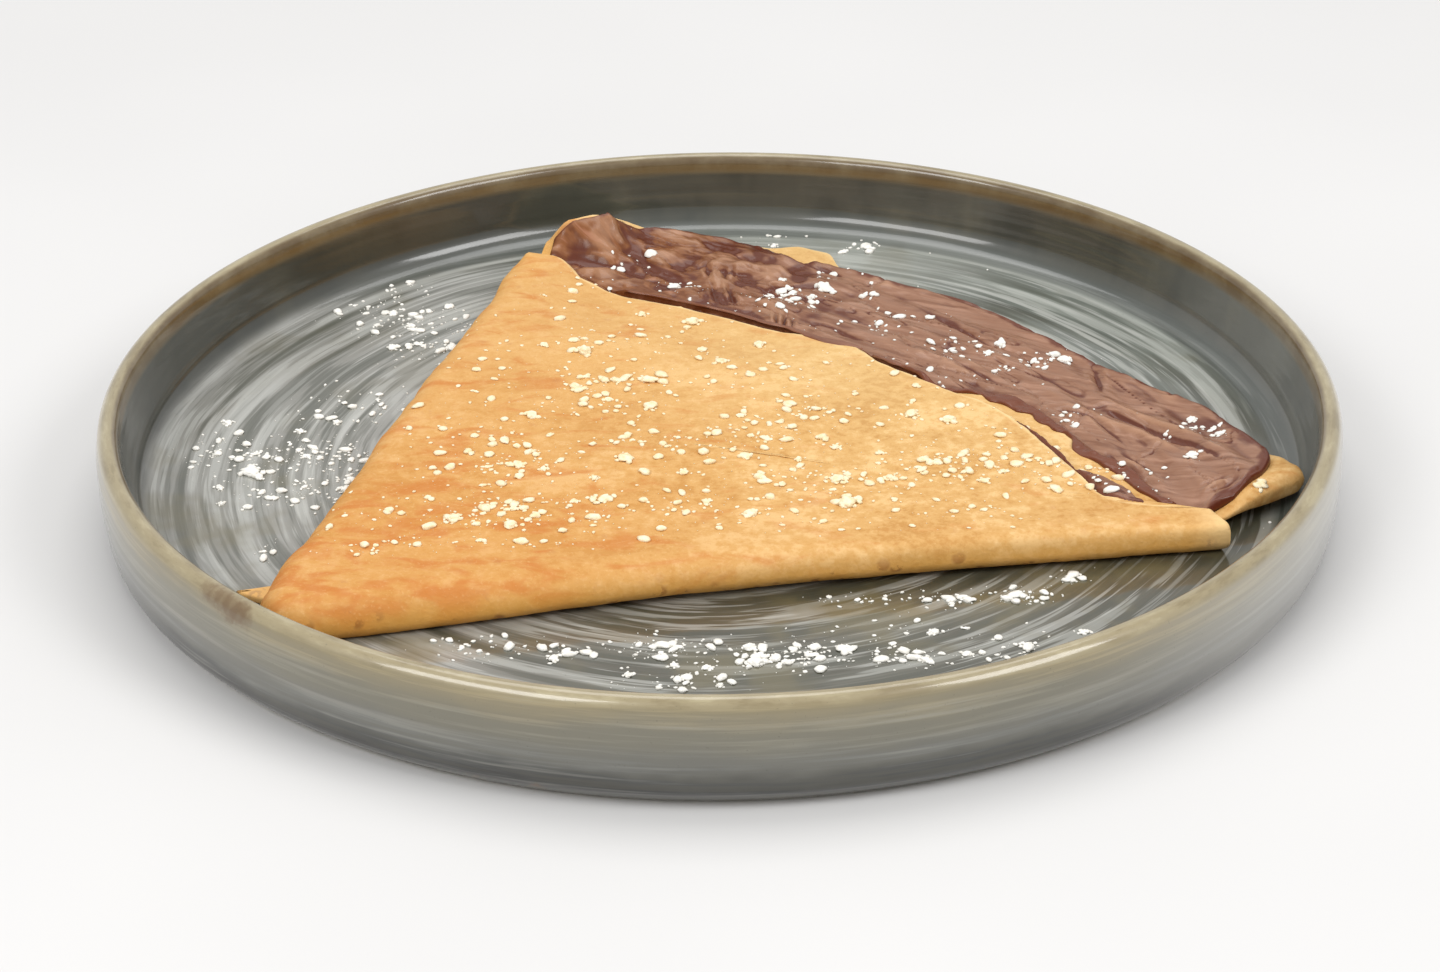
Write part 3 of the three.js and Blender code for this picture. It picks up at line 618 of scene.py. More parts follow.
def crepe_outline():
    """The outline of the folded stack, as mound() wants it. Seen from the hub its points always
    go on to the left."""
    front_out, left_out = direction(FRONT_FOLD_ANGLE - 90), direction(LEFT_FOLD_ANGLE + 90)

    def fold(points, outward, width_share):
        width = np.minimum(width_share * (stack_top(points) - FLOOR_Z), WIDEST_FOLD)
        return points, points - outward * width[:, None], np.full(len(points), NO_LIMIT)

    def fold_line(start, end, outward, bow, shares, width_share, unevenness, bulges=(0, 0)):
        points = start + (end - start) * shares[:, None]
        lean = bow * np.sin(np.pi * np.clip(shares, 0, 1)) ** 2
        waver = unevenness * rough(with_depth(points), 15, 41) * ease(1.0, 0.94, shares)
        run = np.linalg.norm(end - start)
        near_start, near_end = shares * run, (1 - shares) * run
        bulge = bulges[0] * ease(28, 4, near_start)
        bulge = bulge + bulges[1] * ease(0, 9, near_end) * ease(26, 12, near_end)
        return fold(points + outward * (lean + waver + bulge)[:, None], outward, width_share)

    front_start = CORNER_CENTRE + front_out * CORNER_ROUND
    tab_end = at_polar(*TOP_EDGE[0])
    run = np.linalg.norm(tab_end - front_start)
    shares = np.arange(0, run + TAB_OVERRUN, FOLD_STEP) / run
    front_fold = fold_line(front_start, tab_end, front_out, FRONT_FOLD_BOW, shares,
                           lerp(CORNER_ROLL, TAB_ROLL, ease(0.1, 0.95, shares)), 0.35)

    angles = np.arange(10.8, 75.31, 0.3)
    cut = at_polar(angles, through(TOP_EDGE, angles))
    outward = outwards_of(np.gradient(cut, axis=0))
    nibble = 0.4 * rough(with_depth(cut), 5, 43) * ease(11.5, 14, angles)
    cut = cut + outward * nibble[:, None]
    from_hub = (cut[0] - HUB) / np.linalg.norm(cut[0] - HUB)
    aside = np.array([from_hub[1], -from_hub[0]])
    back_to_cut = np.linspace(1, 0.1, 7)[:, None]
    cut = np.concatenate([cut[0] + (from_hub * TAB_OVERRUN + aside * 0.25) * back_to_cut, cut])
    outward = np.concatenate([np.repeat(outward[:1], 7, axis=0), outward])
    cut_edge = cut, cut - outward * CUT_EDGE_ROUND, np.full(len(cut), CUT_EDGE_ROUND)

    back_corner = at_polar(*TOP_EDGE[-1])
    shares = np.linspace(0.12, 0.95, 7)
    turned = direction(lerp(75.3, LEFT_FOLD_ANGLE + 90, shares))
    corner = back_corner + turned * (1 + shares)[:, None]
    back_turn = (corner, corner - turned * lerp(0.6, 1.7, shares)[:, None],
                 lerp(0.6, 8, ease(0.35, 0.85, shares)))

    left_start = back_corner + direction(LEFT_FOLD_ANGLE - 180) * 5.5 + left_out * 1.7
    left_end = CORNER_CENTRE + left_out * CORNER_ROUND
    run = np.linalg.norm(left_end - left_start)
    shares = np.arange(0, run - 0.5, FOLD_STEP) / run
    left_fold = fold_line(left_start, left_end, left_out, LEFT_FOLD_BOW, shares,
                          np.full(len(shares), SIDE_ROLL), 1.1, LEFT_FOLD_BULGES)
    turns = np.linspace(LEFT_FOLD_ANGLE + 90, 270 + FRONT_FOLD_ANGLE, 18)[:-1]
    point = fold(CORNER_CENTRE + direction(turns) * CORNER_ROUND, direction(turns),
                 np.linspace(SIDE_ROLL, CORNER_ROLL, len(turns)))

    at, inset, limit = joined([front_fold, 7, cut_edge, back_turn, 4, left_fold, point])
    folded = ease(3, 8, limit)
    square = 2 + folded * (lerp(0.1, 0.7, ease(-60, 60, at[:, 0])) + 0.7 * ease(80, 100, at[:, 0]))
    at_point = folded * ease(-10, -65, at[:, 0])
    at_end = folded * ease(0, 80, at[:, 0])
    return at, inset, limit, square, 0.5 - 0.12 * at_point, 1 - 0.5 * at_point + 0.5 * at_end


def layered(plan, z, limit):
    """Cut edges show their sheets: shallow grooves between them, each sheet a little uneven."""
    sheet = (z - FLOOR_Z) / CREPE_THICKNESS
    groove = 0.4 * ease(0.16, 0.0, np.abs(sheet - np.round(sheet)))
    shift = 0.35 * noise(with_depth(plan / 9, np.floor(sheet) * 7.3), 47)
    return (groove + shift) * ease(3, 1, limit)


def tab_cutter():
    """A block that cuts the folded stack off straight at the end of its front fold."""
    tab_end, tab_side = at_polar(*TOP_EDGE[0]), at_polar(*TOP_EDGE[1])
    across_x, across_y = tab_side - tab_end
    turn = math.degrees(math.atan2(across_y, across_x))
    along, across = direction(turn), direction(turn + 90)
    corners = [[*(tab_end + x * along + y * across), z] for z in (0, 30) for x, y in TAB_CUTTER]
    faces = [(3, 2, 1, 0), (4, 5, 6, 7), (0, 1, 5, 4), (1, 2, 6, 5), (2, 3, 7, 6), (3, 0, 4, 7)]
    return new_piece("tab_cutter", corners, faces)


def middle_flap():
    angles = crowded(MIDDLE_EDGE[0][0] + 0.6, MIDDLE_FLAP_END, step=0.3, rim=0.15, count=4)
    edge = through(MIDDLE_EDGE, angles) + 0.5 * wavy(angles, 175.0, 3.5, 53)
    shares = np.concatenate([[0, 0.25, 0.5], np.linspace(0.6, 0.97, 26),
                             1 - 0.012 * np.array([1, 0.6, 0.3, 0.1, 0])])

    def top(angle, distance):
        bare = ease(through(TOP_EDGE, angle) + 1, through(TOP_EDGE, angle) + 3, distance)
        return middle_top(angle, distance) + 0.15 * bare * wavy(angle, distance, 5, 59)

    return fan_sheet("middle_flap", angles, rows_to(edge, MIDDLE_FLAP_INNER, shares),
                     lambda angle, distance: 0 * angle + RESTING_Z, top, rim=0.45, base=0.93)


def lower_flap():
    """The lowest flap, with its raised tip at the right and the curled lip at its left corner."""
    angles = crowded(FAN_FIRST - 0.55, FAN_LAST, step=0.3, rim=0.5, count=9)
    waver = 0.35 * wavy(angles, 200.0, 5, 61) * ease(13, 17, angles)
    edge = through(LOWER_EDGE, angles) + through(TIP_ROUND, angles) + waver

    def wave(angle, distance):
        bare = ease(covered_to(angle) + 1, covered_to(angle) + 5, distance)
        gap = np.minimum(np.radians(fan_angle(FAN_LAST, distance) - angle) * distance,
                         through(LOWER_EDGE, angle) - distance)
        lip = CURL_LIP * ease(2.2, 0.4, gap) * ease(66, 72, angle)
        to_side = np.radians(angle - through(TIP_SIDE, distance) + 0.55) * distance
        fat = TIP_SWELLING * ease(0.5, 2.5, to_side) * ease(9, 4, to_side) * ease(187, 196, distance)
        return bare * (0.22 * wavy(angle, distance, 11, 67) + lip + fat)

    def top(angle, distance):
        return lower_top(angle, distance) + wave(angle, distance) - 0.14

    def underside(angle, distance):
        lowest = lower_underside(angle, distance) - (REST_GAP - RESTING_GAP)
        rolled = ROLL_DEPTH * ease(18, 14, angle) * ease(190, 200, distance)
        return np.maximum(lowest + wave(angle, distance) - rolled, RESTING_Z)

    rim = lerp(0.75, 2.6, ease(18, 13, angles))[:, None]
    rows = rows_to(edge, BAND_INNER, crowded(0, 1, step=0.018, rim=0.014, count=6))
    return fan_sheet("lower_flap", angles, rows, underside, top, rim, base=0.5, front_rim=3.0,
                     angle_at=flap_angle)


def low_corner():
    """The corner of the lowest flap that peeps out at the left of the wedge's point."""
    points = np.array(LOW_CORNER, float)
    after = np.roll(points, -1, axis=0)
    loop = np.concatenate([lerp(a, b, np.linspace(0, 1, 13)[:-1, None]) for a, b in zip(points, after)])
    outward = outwards_of(np.roll(loop, -1, axis=0) - np.roll(loop, 1, axis=0))
    outline = (loop, loop - outward * 0.6, *(np.full(len(loop), v) for v in (0.6, 2.0, 0.5, 1.0)))
    return mound("low_corner", outline, np.array(LOW_CORNER_HUB), RESTING_Z,
                 lambda plan: FLOOR_Z + REST_GAP + CREPE_THICKNESS + 0 * plan[..., 0],
                 rings=10, side_rows=8)


def make_crepe():
    crepe = mound("crepe_folded", crepe_outline(), HUB, RESTING_Z, stack_top, CREPE_RINGS,
                  CREPE_SIDE_ROWS, layered)
    cutter, flaps = tab_cutter(), [middle_flap(), lower_flap(), low_corner()]
    combine(crepe, [cutter], "DIFFERENCE")
    combine(crepe, flaps, "UNION")

    angles = np.linspace(SPREAD_FIRST - SLOT_OVERRUN, SPREAD_LAST + SLOT_OVERRUN, 120)
    rows = rows_to(through(SPREAD_EDGE, angles), BAND_INNER, np.linspace(0, 1, 30),
                   (20, 60, 90, 120, 140, 150))
    slot = fan_sheet("spread_slot", angles, rows, lower_top,
                     lambda a, d: spread_underside(a, d) + SPREAD_THICKNESS + SLOT_PLAY,
                     rim=SLOT_RIM, base=0.5)
    angles = np.linspace(SEAM_START - 0.5, SEAM_LAST + SLOT_OVERRUN, 60)
    rows = rows_to(through(TOP_EDGE, angles) + 6, SEAM_INNER, np.linspace(0, 1, 12), (38, 70, 110))
    seam_slot = fan_sheet("seam_slot", angles, rows, lambda a, d: middle_top(a, d) + SEAM_SLOT_SKIN,
                          lambda a, d: seam_underside(a, d) + SEAM_THICKNESS + SLOT_PLAY,
                          rim=SLOT_RIM, base=0.5)
    combine(crepe, [slot, seam_slot], "DIFFERENCE")
    return crepe


def finish_crepe(crepe):
    """Surface relief of the crepe, and the values that its colour follows."""
    points, normals = points_of(crepe), normals_of(crepe)
    angle, distance = polar_of(points[:, :2])
    facing = np.abs(normals[:, 2])
    to_cut = through(TOP_EDGE, angle) - distance
    outer = points[:, 2] > stack_top(points[:, :2]) - 0.25
    inwards = -outside_folds(points[:, :2])
    on_stack = outer | (inwards < FOLD_BAND)
    broad = 0.20 * rough(points, 13, 71, 2) * on_stack
    bubbles = 0.075 * rough(points, 2.3, 73, 3, 0.6)
    gentle = ease(0.0, 0.5, points[:, 2] - RESTING_Z)
    pinch = np.where(to_cut > 0, ease(0, 3, to_cut), 1)
    outwards = normals * np.stack([ease(0.98, 0.8, facing)] * 2 + [np.ones(len(facing))], axis=-1)
    points = points + outwards * ((broad * pinch + bubbles) * gentle)[:, None]
    crepe.data.vertices.foreach_set("co", (points * MM).astype(np.float32).ravel())
    crepe.data.update()

    rim = np.minimum(np.abs(to_cut), np.abs(through(LOWER_EDGE, angle) - distance))
    middle = np.abs(through(MIDDLE_EDGE, angle) - distance) + NO_LIMIT * (angle > MIDDLE_FLAP_END)
    at_tip = (angle < 19) & (distance > 182)
    cut_face = ease(0.75, 0.35, facing) * (inwards > CUT_FROM_FOLD) * ~at_tip
    at_end = 0.7 * ease(93, 103, points[:, 0]) * (points[:, 1] < -36)
    at_low_corner = (inwards < -0.6) & (points[:, 0] < -76)
    thin_edge = ease(1.2, 0.1, np.minimum(rim, middle)) * (angle > 11.5)
    thin_edge = thin_edge * (inwards > CUT_FROM_FOLD) * ~at_tip
    pale = np.maximum.reduce([thin_edge, cut_face, at_end])
    set_values(crepe, pale=np.where(at_low_corner, 0.4, pale),
               baked=ease(40, -60, points[:, 0]) * 0.75 + ease(-5, -60, points[:, 1]) * 0.25,
               side=ease(FLOOR_Z + 8.2, FLOOR_Z + 2.5, points[:, 2]) * (inwards < FOLD_BAND + 0.2))

# ---------------------------------------------------------------- chocolate

# Marks on the band, start and end as (angle, distance), half width, depth: first the strokes at
# the blunt end, then the curl at the back corner, the rake marks, and the rest.
KNIFE_GROOVES = [
    ((27.8, 187.0), (20.0, 194.0), 1.6, 1.9),
    ((20.8, 193.6), (17.2, 195.8), 0.9, 0.8),
    ((21.6, 179.8), (18.4, 182.2), 0.8, 0.7),
    ((29.8, 177.8), (27.2, 183.4), 0.9, 0.7),
    ((27.8, 183.0), (24.4, 182.2), 0.8, 0.7),
    ((33.0, 197.0), (30.2, 191.6), 0.9, 0.8),
    ((22.1, 176.3), (15.8, 180.6), 1.0, 0.6),
    ((14.5, 193.8), (14.0, 187.2), 0.8, -0.9),
    ((73.4, 189.0), (70.9, 183.2), 0.9, -0.7),
    ((74.0, 174.4), (70.4, 175.1), 2.2, 1.1),
    ((70.4, 183.2), (67.1, 176.2), 1.4, 1.2),
    ((67.2, 176.4), (64.6, 173.0), 1.1, 0.8),
    ((67.6, 182.4), (64.9, 178.8), 1.1, 0.8),
    ((65.1, 178.8), (64.0, 189.2), 1.0, 0.6),
    ((64.4, 183.8), (63.2, 177.4), 0.6, 1.1),
    ((63.6, 184.4), (62.6, 176.0), 0.75, -0.8),
    ((62.9, 183.2), (61.9, 178.0), 0.6, 1.2),
    ((62.4, 184.6), (61.8, 180.0), 0.5, 0.9),
    ((62.7, 175.4), (60.9, 167.9), 0.6, 1.0),
    ((61.9, 176.4), (60.3, 170.2), 0.7, -0.7),
    ((61.2, 174.4), (59.3, 168.4), 0.6, 0.9),
    ((55.5, 168.0), (54.1, 162.6), 0.5, 0.9),
    ((54.8, 169.6), (53.5, 162.4), 0.6, 1.0),
    ((54.2, 169.0), (53.0, 164.0), 0.5, 0.8),
    ((58.6, 177.6), (55.8, 186.2), 1.1, 1.0),
    ((64.4, 181.0), (60.4, 184.6), 1.5, 0.8),
    ((59.6, 189.4), (58.0, 187.3), 1.4, -0.7),
    ((68.7, 191.6), (66.5, 192.6), 0.9, -0.6),
    ((47.5, 190.0), (40.0, 187.0), 0.9, 0.5),
    ((42.0, 176.0), (34.5, 175.0), 1.0, 0.6),
]
BAND_MIDDLE = 185
SPREAD_PLAY = 0.03
SEAM_PLAY = 0.21
SPREAD_RIM = 0.8
# How far the pressed-out chocolate lies over the flap's edge, by angle.
SQUEEZED_OVER = [
    (14, 1.3), (20, 1.7), (28, 2.0), (33, 2.2), (36, 0.9), (44, 0.8), (50, 0.9), (57, 0.6),
    (63, 0.3), (75, 0.2),
]


def groove_line(plan, start, end, width, depth):
    """A knife's groove between two places, each an angle and a distance, deepest halfway."""
    first, last = at_polar(*start), at_polar(*end)
    run = last - first
    length = np.linalg.norm(run)
    share = np.clip(((plan - first) @ run) / length ** 2, 0, 1)
    away = np.linalg.norm(plan - (first + run * share[..., None]), axis=-1)
    banks = 0.45 * ease(width * 1.2, width * 2, away) * ease(width * 3.4, width * 2, away)
    return -depth * (ease(width, 0, away) - banks) * np.sin(np.pi * np.clip(share, 0.03, 0.97)) ** 0.6


def spread_relief(angle, distance):
    """What the knife left on the bare band, added to the solid's own ridges."""
    plan = at_polar(angle, distance)
    flow = distance + 1.8 * np.sin(np.radians(angle * 9 + 20))
    flow = flow + 2.5 * rough(with_depth(plan), 26, 81, 2)
    along = np.radians(angle) * BAND_MIDDLE

    def stroked(run, pitch, layer):
        """Noise space for marks that are run long and pitch wide."""
        return np.stack([along / run, flow / pitch, 0 * flow + layer], -1)

    relief = 0.34 * rough(stroked(18, 2.5, 0), 1, 83) + 0.05 * noise(stroked(10, 0.9, 3), 89)
    crease = np.abs(rough(stroked(26, 5.5, 9), 1, 97, 2))
    relief = relief - 0.36 * ease(0.035, 0.0, crease)
    relief = relief + 0.12 * ease(0.035, 0.08, crease) * ease(0.2, 0.1, crease)
    relief = relief + (0.32 + 0.85 * ease(50, 60, angle)) * rough(with_depth(plan), 6.5, 101)
    for groove in KNIFE_GROOVES:
        relief = relief + groove_line(plan, *groove)
    return relief


def squeezed_edge():
    """Chocolate pressed out along the cut flaps: an uneven film over their edge that falls away
    to the bare band."""
    angles = crowded(14.0, 74.8, step=0.16, rim=0.25, count=5)
    uneven = np.clip(0.85 + 1.9 * wavy(angles, 170.0, 8, 137, 2), 0.15, 1.7)
    over = through(SQUEEZED_OVER, angles) * uneven
    past = 2.6 + 1.4 * wavy(angles, 170.0, 7, 139, 2)
    shares = crowded(0, 1, step=0.045, rim=0.12, count=6)
    rows = covered_to(angles)[:, None] - over[:, None] + (over + past)[:, None] * shares

    def flap_surface(angle, distance):
        upper = stack_top(at_polar(angle, distance))
        return lerp(middle_top(angle, distance), upper, ease(35.5, 38, angle))

    def underside(angle, distance):
        beyond = distance - covered_to(angle)
        on_flap = flap_surface(angle, distance) - 0.05 - 0.4 * ease(-0.5, 0, beyond)
        return lerp(on_flap, spread_top(angle, distance) - 0.6, ease(0.1, 0.6, beyond))

    def top(angle, distance):
        beyond = distance - covered_to(angle)
        bumps = wavy(angle, distance, 4.2, 141)
        thick = ease(44, 36, angle)
        swelling = lerp(0.16, 0.55, thick) + lerp(0.3, 0.7, thick) * np.clip(bumps, -0.4, 1)
        high = flap_surface(angle, np.minimum(distance, covered_to(angle))) + swelling
        return lerp(high, spread_top(angle, distance) + 0.25, ease(0.1, 2.4, beyond))

    return fan_sheet("squeezed_edge", angles, rows, underside, top, rim=0.45, base=0.0)


def make_spread():
    angles = crowded(SPREAD_FIRST, SPREAD_LAST, step=0.15, rim=0.3, count=7)
    edge = through(SPREAD_EDGE, angles) + 0.75 * wavy(angles, 195.0, 5.5, 103) - 0.2
    edge = edge + 0.6 * ease(25, 20, angles)
    flap_end = through(LOWER_EDGE, angles) + np.minimum(through(TIP_ROUND, angles), 0)
    edge = np.minimum(edge, flap_end + lerp(-0.15, 0.25, ease(26, 20, angles)))
    shares = crowded(0, 1, step=0.0088, rim=0.022, count=8)
    rows = rows_to(edge, BAND_INNER, shares, (22, 50, 90, 120, 140))

    def top(angle, distance):
        bare = ease(0.8, 3.0, distance - covered_to(angle))
        to_edge = through(SPREAD_EDGE, angle) - distance
        bead = 0.22 * ease(4.2, 1.6, to_edge) - 0.30 * ease(1.6, 0.3, to_edge)
        made = spread_top(angle, distance) + bare * (spread_relief(angle, distance) + bead)
        return np.maximum(made, spread_underside(angle, distance) + 0.3)

    spread = fan_sheet("chocolate_layer", angles, rows,
                       lambda angle, distance: lower_top(angle, distance) + SPREAD_PLAY, top,
                       rim=SPREAD_RIM, base=0.0)
    combine(spread, [squeezed_edge()], "UNION")
    points = points_of(spread)
    angle, distance = polar_of(points[:, :2])
    past = distance - covered_to(angle)
    flap_end = through(LOWER_EDGE, angle) + through(TIP_ROUND, angle)
    to_edge = np.minimum(through(SPREAD_EDGE, angle), flap_end) - distance
    tucked = ease(3.6, 1.6, past + 1.2 * rough(points, 3, 149, 2))
    # the height of the knife's relief, the edge and the part under the flaps, where the finish paints
    # shade and highlights
    set_values(spread, relief=(points[:, 2] - spread_top(angle, distance)) * ease(2.5, 4.5, past),
               rim=ease(2.3, 1.2, to_edge + 1.1 * rough(points, 3.2, 157)),
               tucked=tucked * lerp(1.0, 0.55, ease(36, 44, angle)))
    return spread


def make_seam():
    angles = crowded(SEAM_START, SEAM_LAST, step=0.16, rim=0.2, count=6)
    blob = SEAM_BLOB * ease(19.5, 15.2, angles) * ease(11.3, 14.4, angles)
    waver = 0.6 * wavy(angles, 165.0, 3.5, 107)
    line = lerp(0.3, SEAM_REACH + 0.4, ease(33, 27, angles) * ease(11.7, 13, angles))
    edge = through(TOP_EDGE, angles) + 0.3
    edge = edge + np.maximum(line + blob + waver * ease(0.2, 1.2, line + blob), 0.3)
    shares = crowded(0, 1, step=0.035, rim=0.05, count=6)
    rows = rows_to(edge, SEAM_INNER, shares, (42, 80, 110, 140))

    def top(angle, distance):
        past = distance - through(TOP_EDGE, angle)
        ripple = 0.35 * wavy(angle, distance, (3.4, 1.3, 1), 109)
        dome = 0.5 * ease(19.5, 15.2, angle) * ease(0.4, 2.4, past) * ease(6.5, 3.6, past)
        beside = FLOOR_Z + through(TOP_EDGE_HEIGHT, angle) - 0.05 - seam_top(angle, distance)
        climb = np.maximum(beside, 0) * ease(34, 26, angle) * ease(6.5, 2.2, past)
        return seam_top(angle, distance) + (ripple + climb + dome) * ease(0.1, 0.8, past)

    seam = fan_sheet("chocolate_line", angles, rows,
                     lambda angle, distance: middle_top(angle, distance) + SEAM_PLAY, top,
                     rim=SPREAD_RIM, base=0.0)
    points = points_of(seam)
    angle, distance = polar_of(points[:, :2])
    past = distance - through(TOP_EDGE, angle)
    in_blob = ease(20, 16.5, angle) * ease(0.8, 1.8, past)
    # darker along the top flap's edge and under it: painted shade; the blob's relief gets painted shade
    # and highlights
    set_values(seam, relief=0.9 * rough(points, (2.6, 1.3, 2), 151, 2) * in_blob,
               rim=ease(1.4, 0.5, past) * 0.7, tucked=0.9 - 0.5 * in_blob)
    return seam

# ---------------------------------------------------------------- icing sugar

# Heaps of loose sugar: centre, half widths, lumps, grains.
LOOSE_SUGAR = [
    # left of the crepe, back to front
    (-74, 90, 7, 5, 3, 40), (-70, 73, 13, 9, 10, 190), (-66, 58, 9, 8, 6, 120),
    (-85, 80, 9, 6, 4, 60), (-80, 28, 11, 9, 7, 110), (-85, 5, 9, 7, 8, 150),
    (-97, 4, 13, 10, 8, 160), (-90, -12, 11, 8, 9, 160), (-79, -6, 4, 8, 4, 80),
    (-108, 6, 6, 9, 4, 80), (-92, -39, 2, 3, 2, 20),
    # in front of the crepe, left to right
    (-47, -79, 8, 4, 5, 50), (-30, -80, 9, 4, 5, 60), (-11, -80, 8, 5, 9, 150),
    (-8, -92, 8, 3, 4, 60), (8, -84, 9, 6, 10, 170), (18, -82, 7, 5, 7, 110),
    (34, -84, 9, 4, 8, 120), (56, -84, 9, 3, 4, 60), (40, -75, 22, 5, 4, 80),
    (46, -61, 11, 3, 6, 90), (61, -60, 6, 3, 5, 80), (70, -53, 3, 2, 3, 40),
    (26, -61, 8, 2, 2, 40),
    # right and back of the crepe
    (111, -27, 1, 1.5, 5, 12), (112, -33, 2, 3, 0, 5), (14, 118, 6, 2, 1, 20),
    (36, 111, 4, 3, 5, 40), (60, 100, 14, 8, 0, 12),
    # on the crepe
    (-20, 44, 16, 11, 8, 90), (-24, 22, 18, 9, 12, 130), (-29, 10, 16, 8, 9, 110),
    (5, 26, 26, 16, 8, 120), (16, 6, 16, 11, 12, 130), (10, -4, 12, 7, 10, 110),
    (-12, -8, 16, 8, 12, 130), (-40, -14, 13, 8, 8, 100), (20, -24, 18, 7, 16, 150),
    (46, -17, 14, 8, 14, 150), (60, -18, 16, 7, 10, 110), (50, 5, 26, 12, 6, 110),
    (-52, 32, 8, 16, 4, 60), (-54, -3, 13, 14, 6, 90), (-48, -20, 16, 11, 8, 100),
    (-60, -38, 16, 8, 10, 120), (-40, -40, 18, 7, 10, 130), (-18, -38, 21, 8, 8, 120),
    (8, -34, 26, 8, 8, 130), (46, -38, 21, 7, 6, 90), (-66, -53, 13, 4, 4, 70),
    (-45, -52, 16, 3, 3, 60), (-5, 60, 26, 16, 4, 90), (-35, 68, 13, 16, 2, 40),
    (40, 30, 26, 14, 4, 90), (72, -27, 10, 5, 4, 60), (0, -46, 52, 3, 3, 90),
    (80, -16, 5, 7, 3, 40),
    # on the chocolate and along the flap's edge
    (-22, 96, 5, 5, 3, 20), (-8, 82, 6, 4, 4, 30), (14, 78, 5, 4, 9, 50), (18, 72, 6, 4, 5, 40),
    (40, 60, 12, 8, 5, 50), (52, 48, 8, 5, 5, 40), (71, 41, 6, 4, 5, 40), (76, 13, 6, 5, 5, 30),
    (102, 3, 5, 5, 5, 30), (88, -18, 5, 5, 3, 30), (30, 88, 10, 5, 2, 30), (-30, 84, 6, 8, 2, 20),
]
# Each kind of loose sugar: how many for each lump or grain, smallest half width, how much more
# the largest has, how rare the large ones are, how far it lies beyond its heap, flatness.
CRUMBS = (2.3, 0.36, 0.85, 1.7, 0.95, 0.42)
BITS = (0.22, 0.20, 0.26, 1.0, 1.1, 0.5)
DUST = (0.28, 0.09, 0.10, 1.0, 1.35, 0.7)

CREPE_NUMBER = 1
CRUMBS_AT_LUMP = 7
LUMP_CORE = (0.86, 0.86, 0.56)
HEAP_SPREAD = 0.55
GRAIN_BUMPS = 1.7
GRAIN_APART = 13.7
GRAIN_LIFT = 0.5
DROP_HEIGHT = 60
LEAST_UPRIGHT = 0.82
SUGAR_REACH = 119
BALL_MIDDLE = 1 / math.sqrt(5)
OCTAHEDRON = (
    np.array([(1, 0, 0), (0, 1, 0), (-1, 0, 0), (0, -1, 0), (0, 0, 1), (0, 0, -1)], float),
    np.array([(0, 1, 4), (1, 2, 4), (2, 3, 4), (3, 0, 4), (1, 0, 5), (2, 1, 5), (3, 2, 5), (0, 3, 5)]),
)


def stepping_random(seed):
    """The same repeatable random numbers from 0 to 1 as the solids use."""
    state = seed
    while True:
        state = (state * 1664525 + 1013904223) & 0xFFFFFFFF
        yield state / 2 ** 32


def free_on_plate(place):
    angle, distance = polar_of(place)
    clear = LUMP_RADIUS_MAX + 2
    beyond = 12 < angle < 77 and distance > through(LOWER_EDGE, angle) + clear
    return np.linalg.norm(place) < FOOT_RADIUS - 14 and (outside_folds(place) > clear or beyond)


def free_on_crepe(place):
    angle, distance = polar_of(place)
    return outside_folds(place) < -8 and distance < through(TOP_EDGE, angle) - 6


def free_on_spread(place):
    angle, distance = polar_of(place)
    return covered_to(angle) + 5 < distance < through(SPREAD_EDGE, angle) - 4


def solid_lumps():
    """Place, half widths and turn of each lump that the solids carry, by the same rule."""
    numbers = stepping_random(SUGAR_SEED)
    lumps = []
    for heaps, is_free in ((LUMPS_ON_PLATE, free_on_plate), (LUMPS_ON_CREPE, free_on_crepe),
                           (LUMPS_ON_SPREAD, free_on_spread)):
        placed = []
        for x, y, wide, deep, count in heaps:
            wanted, tries = count, 0
            while wanted > 0 and tries < 40 * count:
                tries += 1
                fall_x, fall_y = (sum(next(numbers) for _ in range(3)) - 1.5 for _ in range(2))
                place = np.array([x + wide * fall_x, y + deep * fall_y])
                near = any(np.linalg.norm(place - other) <= 2.4 * LUMP_RADIUS_MAX for other in placed)
                if is_free(place) and not near:
                    placed.append(place)
                    wanted -= 1
        for place in placed:
            scale, _, long, broad, turn = (next(numbers) for _ in range(5))
            size = lerp(LUMP_RADIUS_MIN, LUMP_RADIUS_MAX, scale ** 2)
            widths = (size * lerp(0.8, 1.3, long), size * lerp(0.7, 1, broad), size * LUMP_FLATNESS)
            lumps.append((place, widths, turn * math.pi))
    return lumps


def ball(rounds):
    """Points and triangles of a unit ball with 20 faces, each split into four rounds times."""
    points = [(0, 0, 1)]
    for k in range(10):
        turn = (k % 5 + (0 if k < 5 else 0.5)) * math.tau / 5
        z = BALL_MIDDLE if k < 5 else -BALL_MIDDLE
        points.append((2 * BALL_MIDDLE * math.cos(turn), 2 * BALL_MIDDLE * math.sin(turn), z))
    points.append((0, 0, -1))
    faces = []
    for k in range(5):
        after = (k + 1) % 5
        faces += [(0, 1 + k, 1 + after), (1 + k, 6 + k, 1 + after), (6 + k, 6 + after, 1 + after),
                  (11, 6 + after, 6 + k)]
    for _ in range(rounds):
        halfway, split = {}, []

        def between(a, b):
            key = (min(a, b), max(a, b))
            if key not in halfway:
                point = np.add(points[a], points[b])
                points.append(tuple(point / np.linalg.norm(point)))
                halfway[key] = len(points) - 1
            return halfway[key]

        for a, b, c in faces:
            ab, bc, ca = between(a, b), between(b, c), between(c, a)
            split += [(a, ab, ca), (b, bc, ab), (c, ca, bc), (ab, bc, ca)]
        faces = split
    return np.array(points), np.array(faces)


